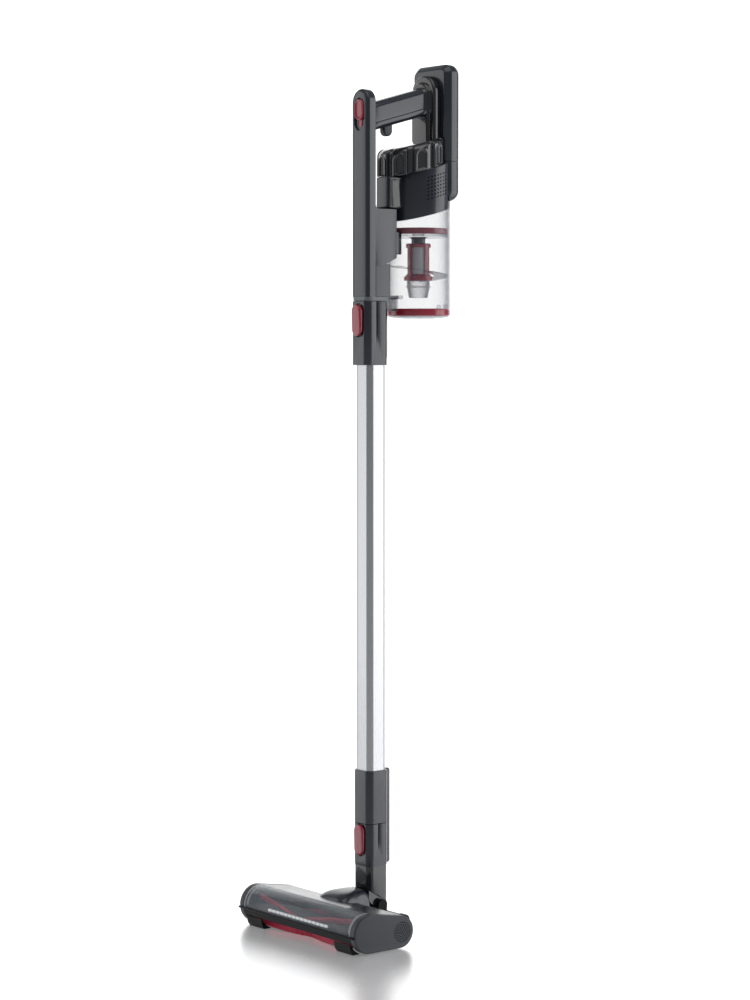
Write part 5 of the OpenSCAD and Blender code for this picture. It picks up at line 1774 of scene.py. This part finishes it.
# ---- the floor head ----
@dataclass
class FloorHead:
    """The floor head: window, cover, caps, bumper, lamp strip, hump and brush roll."""

    front_r: float = 25.6
    rear_r: float = 21.2
    lobe_pitch: float = 52.0
    wall: float = 2.0
    window_rear: float = 74.0
    window_front: float = 184.0
    brush_turn: float = 160.0
    brush_twist: float = 60.0
    tuft_rows: int = 3
    tuft_count: int = 84
    lamp_count: int = 15
    vent_rings: int = 5
    vent_pitch: float = 3.2

    def build(self) -> None:
        """Builds the head piece by piece."""
        cap = Box.of("right_end_cap")
        self.inner = cap.x0
        self.front = (cap.y0 + self.front_r, cap.z0 + self.front_r)
        self.rear = (self.front[0] + self.lobe_pitch, cap.z0 + self.rear_r)
        self.build_caps(cap)
        self.build_cover()
        self.build_window()
        self.build_bumper()
        self.build_lamps()
        self.build_hump()
        self.build_brush()

    def around(self, lobe: Pair, radius: float, degrees: float) -> Pair:
        """A point on a circle about a lobe's centre, in Y and Z."""
        angle = math.radians(degrees)
        return (lobe[0] + radius * math.cos(angle), lobe[1] + radius * math.sin(angle))

    def tangents(self) -> Pair:
        """The fall between the lobes and the angle of their tangent, in degrees."""
        fall = math.degrees(math.atan2(self.rear[1] - self.front[1], self.lobe_pitch))
        reach = math.hypot(self.lobe_pitch, self.rear[1] - self.front[1])
        return fall, math.degrees(math.acos((self.front_r - self.rear_r) / reach))

    def lobes(self, inset: float) -> Outline:
        """The head's side outline.

        Args:
            inset: how far it is moved in.

        Returns:
            The outline's points.
        """
        fall, open_angle = self.tangents()
        top, low = fall + open_angle, fall - open_angle
        front = [self.around(self.front, self.front_r - inset,
                             top + (360 + low - top) * k / 60) for k in range(61)]
        rear = [self.around(self.rear, self.rear_r - inset, low + (top - low) * k / 44) for k in range(45)]
        return front + rear

    def build_caps(self, cap: Box) -> None:
        """Builds the two end caps, the right one with its vents and the black plugs in them that paint the
        holes' shade.

        Args:
            cap: the right cap's box.
        """
        for side, name, node in ((-1, "cap_left", "left_end_cap"), (1, "cap_right", "right_end_cap")):
            levels = rims(self.inner * side, cap.x1 * side, 0.4, 1.7, 6)
            piece = stack(name, self.lobes, levels, sideways)
            holes, shade_plugs = [], []
            if side > 0:
                for ring in range(self.vent_rings):
                    for k in range(max(1, ring * 6)):
                        y, z = self.around((self.rear[0] + 2.0, self.rear[1]), self.vent_pitch * ring,
                                           60 * k / max(1, ring))
                        holes.append(rod("hole", 1.05, cap.x1 - 3.2, cap.x1 + 2.0, y, z, 14, 0.1))
                        # Painted shade: a black plug sunk in each vent hole darkens it where shade falls
                        # inside.
                        shade_plugs.append(rod("plug", 1.0, cap.x1 - 3.1, cap.x1 - 0.9, y, z, 14, 0.1))
                combine(piece, [gather("cutter", holes)], "DIFFERENCE")
                hand_over(gather("vent_painted_shade", shade_plugs), "floor_head", Slot.BLACK, Look.BLACK)
            hand_over(piece, "floor_head", Slot.ANTHRACITE, Look.MATT, node)

    def build_cover(self) -> None:
        """Builds the cover from the window's rear edge over the rear lobe."""
        fall, open_angle = self.tangents()
        top = fall + open_angle
        outer, inner = [], []
        for rf, rr, path in ((self.front_r, self.rear_r, outer),
                             (self.front_r - self.wall, self.rear_r - self.wall, inner)):
            path += [self.around(self.front, rf,
                                 self.window_rear + (top - self.window_rear) * k / 6) for k in range(7)]
            path += [self.around(self.rear, rr, top * (1 - k / 30)) for k in range(31)]
        cover = prism("rear_cover", outer + inner[::-1], -self.inner, self.inner, sideways)
        hand_over(soften(cover, 0.35, 2), "floor_head", Slot.ANTHRACITE, Look.SATIN, "head_cover")

    def arc(self, name: str, r_out: float, r_in: float, a0: float, a1: float, x0: float, x1: float,
            edge: float) -> bpy.types.Object:
        """Builds a curved strip about the front lobe.

        Args:
            name: the piece's name.
            r_out: its outer radius.
            r_in: its inner radius.
            a0: its first angle in degrees.
            a1: its last angle in degrees.
            x0: where it starts.
            x1: where it ends.
            edge: how far its edges are rounded.

        Returns:
            The strip.
        """
        steps = max(4, round(abs(a1 - a0) / 2))
        path = [self.around(self.front, r_out, a0 + (a1 - a0) * k / steps) for k in range(steps + 1)]
        path += [self.around(self.front, r_in, a1 + (a0 - a1) * k / steps) for k in range(steps + 1)]
        return soften(prism(name, path, x0, x1, sideways), edge, 2)

    def build_window(self) -> None:
        """Builds the clear window with its frosted rear band and end bands."""
        r, a0, a1 = self.front_r, self.window_rear, self.window_front
        pane = self.arc("brush_pane", r, r - self.wall, a0, a1, -self.inner, self.inner, 0.3)
        hand_over(pane, "floor_head", Slot.CLEAR_WINDOW, Look.WINDOW, "brush_window")
        bands = [self.arc("band", r - self.wall - 0.05, r - self.wall - 0.9, a0, a0 + 13.0, -self.inner,
                          self.inner, 0.2)]
        for side in (-1, 1):
            ends = sorted((side * self.inner, side * (self.inner - 8.0)))
            bands.append(self.arc("band", r - self.wall - 0.1, r - self.wall - 0.9, a0 + 13.0, a1 - 8.0,
                                  *ends, 0.2))
            hoop = sorted((side * (self.inner - 1.4), side * (self.inner - 3.2)))
            bands.append(self.arc("hoop", r, r - 1.0, a0 + 1.0, a1 - 1.0, *hoop, 0.3))
        hand_over(gather("pane_border", bands), "floor_head", Slot.CLEAR_WINDOW, Look.BORDER)

    def build_bumper(self) -> None:
        """Builds the black lip along the head's front."""
        box = Box.of("front_bumper")

        def outline(inset: float) -> Outline:
            """The lip's outline."""
            return round_rect(box.depth, box.height, 1.3, inset, (box.y_mid, box.z_mid), 5)

        lip = stack("front_lip", outline, rims(box.x0, box.x1, 1.0, 1.0), sideways)
        hand_over(lip, "floor_head", Slot.BLACK, Look.BLACK, "front_bumper")

    def build_lamps(self) -> None:
        """Builds the lamp board behind the window's lower edge, with its row of lamps."""
        box = Box.of("light_strip")
        r = self.front_r - self.wall - 0.3
        board = self.arc("lamp_board", r - 1.5, r - 2.3, self.window_front - 17.0, self.window_front - 2.0,
                         box.x0, box.x1, 0.2)
        hand_over(board, "floor_head", Slot.LIGHT, Look.LIGHT, "light_strip")
        lamps = []
        for k in range(self.lamp_count):
            x = box.x0 + (k + 0.5) * box.width / self.lamp_count
            y, z = self.around(self.front, r - 1.0, self.window_front - 10.5)
            lamps.append(soften(brick("lamp", x - 3.2, x + 3.2, y - 0.7, y + 0.9, z - 1.6, z + 1.6), 0.3, 2))
        hand_over(gather("lamp_row", lamps), "floor_head", Slot.LIGHT, Look.LAMP)

    def build_hump(self) -> None:
        """Builds the hump that leads from the rear lobe to the neck."""
        box = Box.of("neck_shroud")
        foot = self.rear[1] + 8.0
        sections = ((box.y0, 23.0, 38.5), (box.y0 + 0.8, 25.6, 43.0), (box.y0 + 3.0, 28.6, 48.0),
                    (box.y0 + 7.0, 31.0, 52.2),
                    (box.y0 + 14.0, 31.6, 55.2), (box.y0 + 22.0, 30.4, 56.6), (box.y0 + 32.0, 27.0, 57.1),
                    (box.y0 + 42.0, 24.8, 57.1), (box.y1 - 6.0, 24.2, 56.8), (box.y1 - 2.0, 23.9, 55.6),
                    (box.y1 - 0.5, 23.2, 54.0), (box.y1, 22.0, 52.2))
        power, steps, rings = 2 / 3.6, 40, []
        for y, half, top in sections:
            ring = []
            for k in range(steps + 1):
                angle = math.pi * k / steps
                side = 1 if k <= steps / 2 else -1
                ring.append((side * half * abs(math.cos(angle)) ** power, y,
                             foot - 6.0 + (top - foot + 6.0) * abs(math.sin(angle)) ** power))
            ring += [(-half * 0.96, y, foot - 12.0), (half * 0.96, y, foot - 12.0)]
            rings.append(ring)
        hump = skin("neck_hump", rings, smooth=48.0)
        hand_over(hump, "floor_head", Slot.ANTHRACITE, Look.SATIN, "neck_shroud")

    def build_brush(self) -> None:
        """Builds the brush roll: a core and its rows of bristle tufts, which meet as a V."""
        box, tips = Box.of("brush_core"), Box.of("brush_bristles")
        axis = (box.y_mid, box.z_mid)
        core_r, tip_r, half = box.height / 2, tips.height / 2, box.width / 2
        core = rod("brush_barrel", core_r, -half, half, *axis, 72, 1.5)
        hand_over(core, "brush_roll", Slot.DARK, Look.MATT, "brush_core")
        rng = random.Random(7)
        tufts: list[Point] = []
        faces: list[list[int]] = []
        for side in (-1, 1):
            for row in range(self.tuft_rows):
                for k in range(self.tuft_count):
                    share = (k + 0.5) / self.tuft_count
                    angle = self.brush_turn + row * 360.0 / self.tuft_rows - self.brush_twist * share
                    x = side * (0.8 + (half - 5.0) * share)
                    self.tuft(tufts, faces, axis, x, angle, core_r - 0.4, tip_r - rng.random() * 0.5, rng)
        bristles = from_faces("bristle_rows", tufts, faces, 30.0)
        hand_over(bristles, "brush_roll", Slot.BRISTLE, Look.BRISTLE, "brush_bristles")

    def tuft(self, points: list[Point], faces: list[list[int]], axis: Pair, x: float, degrees: float,
             root: float,
             tip: float, rng: random.Random) -> None:
        """Adds one tuft of bristle to the rows.

        Args:
            points: the rows' points so far.
            faces: the rows' faces so far.
            axis: the roll's axis in Y and Z.
            x: the tuft's place along the roll.
            degrees: its angle round the roll.
            root: the radius of its root.
            tip: the radius of its tip.
            rng: gives its lean.
        """
        first = len(points)
        lean = math.radians(degrees) + rng.uniform(-0.02, 0.02)
        for radius, wide, turn in ((root, 0.62, math.radians(degrees)),
                                   (tip, 0.5 + 0.15 * rng.random(), lean)):
            for a, b in ((-1, -1), (1, -1), (1, 1), (-1, 1)):
                across = turn + b * 1.5 / radius
                points.append((x + a * wide, axis[0] + radius * math.cos(across),
                               axis[1] + radius * math.sin(across)))
        faces += [[first, first + 1, first + 2, first + 3], [first + 4, first + 5, first + 6, first + 7]]
        faces += [[first + k, first + (k + 1) % 4, first + 4 + (k + 1) % 4, first + 4 + k] for k in range(4)]


# ---- the studio ----
@dataclass
class Studio:
    """A pale floor, broad soft lights and the camera."""

    azimuth: float = 50.84
    stand: Point = (2.5950, -2.1052, 0.7749)
    tilt: float = 86.631

    def build(self) -> None:
        """Builds the floor, the lights, the surroundings and the camera."""
        self.build_floor()
        self.build_lights()
        self.build_world()
        self.build_camera()

    def build_floor(self) -> None:
        """Builds the pale polished floor and the lit backdrop that it mirrors."""
        reach = 14.0
        corners = [(-reach, -reach, 0.0), (reach, -reach, 0.0), (reach, reach, 0.0), (-reach, reach, 0.0)]
        finish = Plastic("pale_floor", (0.93, 0.93, 0.94), 0.27, grain=0.0, tint=0.0, smudge=0.02,
                         metallic=0.75, glow=0.18)
        self.stage_sheet("studio_floor", corners, [[0, 1, 2, 3]], finish)
        radius, top, spread, steps = 6.5, 5.0, 42.0, 24
        rim = [math.radians(self.azimuth + 90.0 + spread * (2 * k / steps - 1)) for k in range(steps + 1)]
        points = [(math.cos(a) * radius, math.sin(a) * radius, z) for z in (0.0, top) for a in rim]
        faces = [[k, k + 1, steps + 2 + k, steps + 1 + k] for k in range(steps)]
        wall = Plastic("lit_backdrop", (0.80, 0.80, 0.80), 0.9, grain=0.0, tint=0.0, smudge=0.0, glow=1.0)
        self.stage_sheet("studio_backdrop", points, faces, wall)

    def stage_sheet(self, name: str, points: list[Point], faces: list[list[int]], finish: Plastic) -> None:
        """Adds one surface of the studio, which isn't part of the vacuum.

        Args:
            name: its name.
            points: its points in metres.
            faces: its faces.
            finish: its finish.
        """
        mesh = bpy.data.meshes.new(name)
        mesh.from_pydata(points, [], faces)
        sheet = bpy.data.objects.new(name, mesh)
        bpy.context.scene.collection.objects.link(sheet)
        sheet.data.materials.append(finish.material(WARDROBE.effects))

    def lamp(self, name: str, azimuth: float, distance: float, height: float, aim: float, size: Pair,
             power: float) -> None:
        """Adds one soft box that faces the vacuum.

        Args:
            name: the lamp's name.
            azimuth: where it stands round the vacuum, in degrees from the front.
            distance: how far away it stands, in metres.
            height: the height of its middle, in metres.
            aim: the height that it faces, in metres.
            size: its width and height, in metres.
            power: its power in watts.
        """
        light = bpy.data.lights.new(name, "AREA")
        light.shape, light.size, light.size_y, light.energy = "RECTANGLE", size[0], size[1], power
        lamp = bpy.data.objects.new(name, light)
        angle = math.radians(azimuth)
        lamp.location = (math.sin(angle) * distance, -math.cos(angle) * distance, height)
        to_aim = Vector((0.0, 0.0, aim)) - lamp.location
        lamp.rotation_euler = to_aim.to_track_quat("-Z", "Y").to_euler()
        bpy.context.scene.collection.objects.link(lamp)

    def build_lights(self) -> None:
        """Adds a soft box on each side of the camera and one overhead."""
        self.lamp("front_box", -46.0, 2.3, 0.95, 0.75, (1.7, 2.6), 17.0)
        self.lamp("side_box", 138.0, 2.3, 0.95, 0.75, (1.7, 2.6), 29.0)
        self.lamp("top_box", 60.0, 0.9, 2.9, 0.3, (2.0, 2.0), 14.0)

    def build_world(self) -> None:
        """Makes the surroundings white behind the vacuum and grey around it."""
        world = bpy.data.worlds.new("studio")
        world.use_nodes = True
        wires = Wiring(world.node_tree)
        shade = world.node_tree.nodes["Background"]
        direct = wires.add("ShaderNodeLightPath").outputs["Is Camera Ray"]
        wires.feed(shade.inputs["Strength"], wires.maths("MULTIPLY_ADD", direct, 0.78, 0.24))
        shade.inputs["Color"].default_value = (1.0, 1.0, 1.0, 1.0)
        bpy.context.scene.world = world

    def build_camera(self) -> None:
        """Adds the camera and sets plain colour handling."""
        camera = bpy.data.objects.new("camera", bpy.data.cameras.new("camera"))
        camera.location = self.stand
        camera.rotation_euler = (math.radians(self.tilt), 0.0, math.radians(self.azimuth))
        camera.data.lens, camera.data.sensor_width = 90.0, 36.0
        bpy.context.scene.collection.objects.link(camera)
        bpy.context.scene.camera = camera
        bpy.context.scene.view_settings.view_transform = "Standard"


def main() -> None:
    """Builds the studio and every sub-assembly in order."""
    logging.basicConfig(level=logging.INFO, format="%(name)s: %(message)s")
    Studio().build()
    WARDROBE.dress_frame()
    for assembly in (FloorHead(), Neck(), Wand(), Spine(), Duct(), Housing(), Crown(), Handle(), Battery(),
                     DustBin()):
        LOG.info("building %s", type(assembly).__name__)
        assembly.build()


if __name__ == "__main__":
    main()
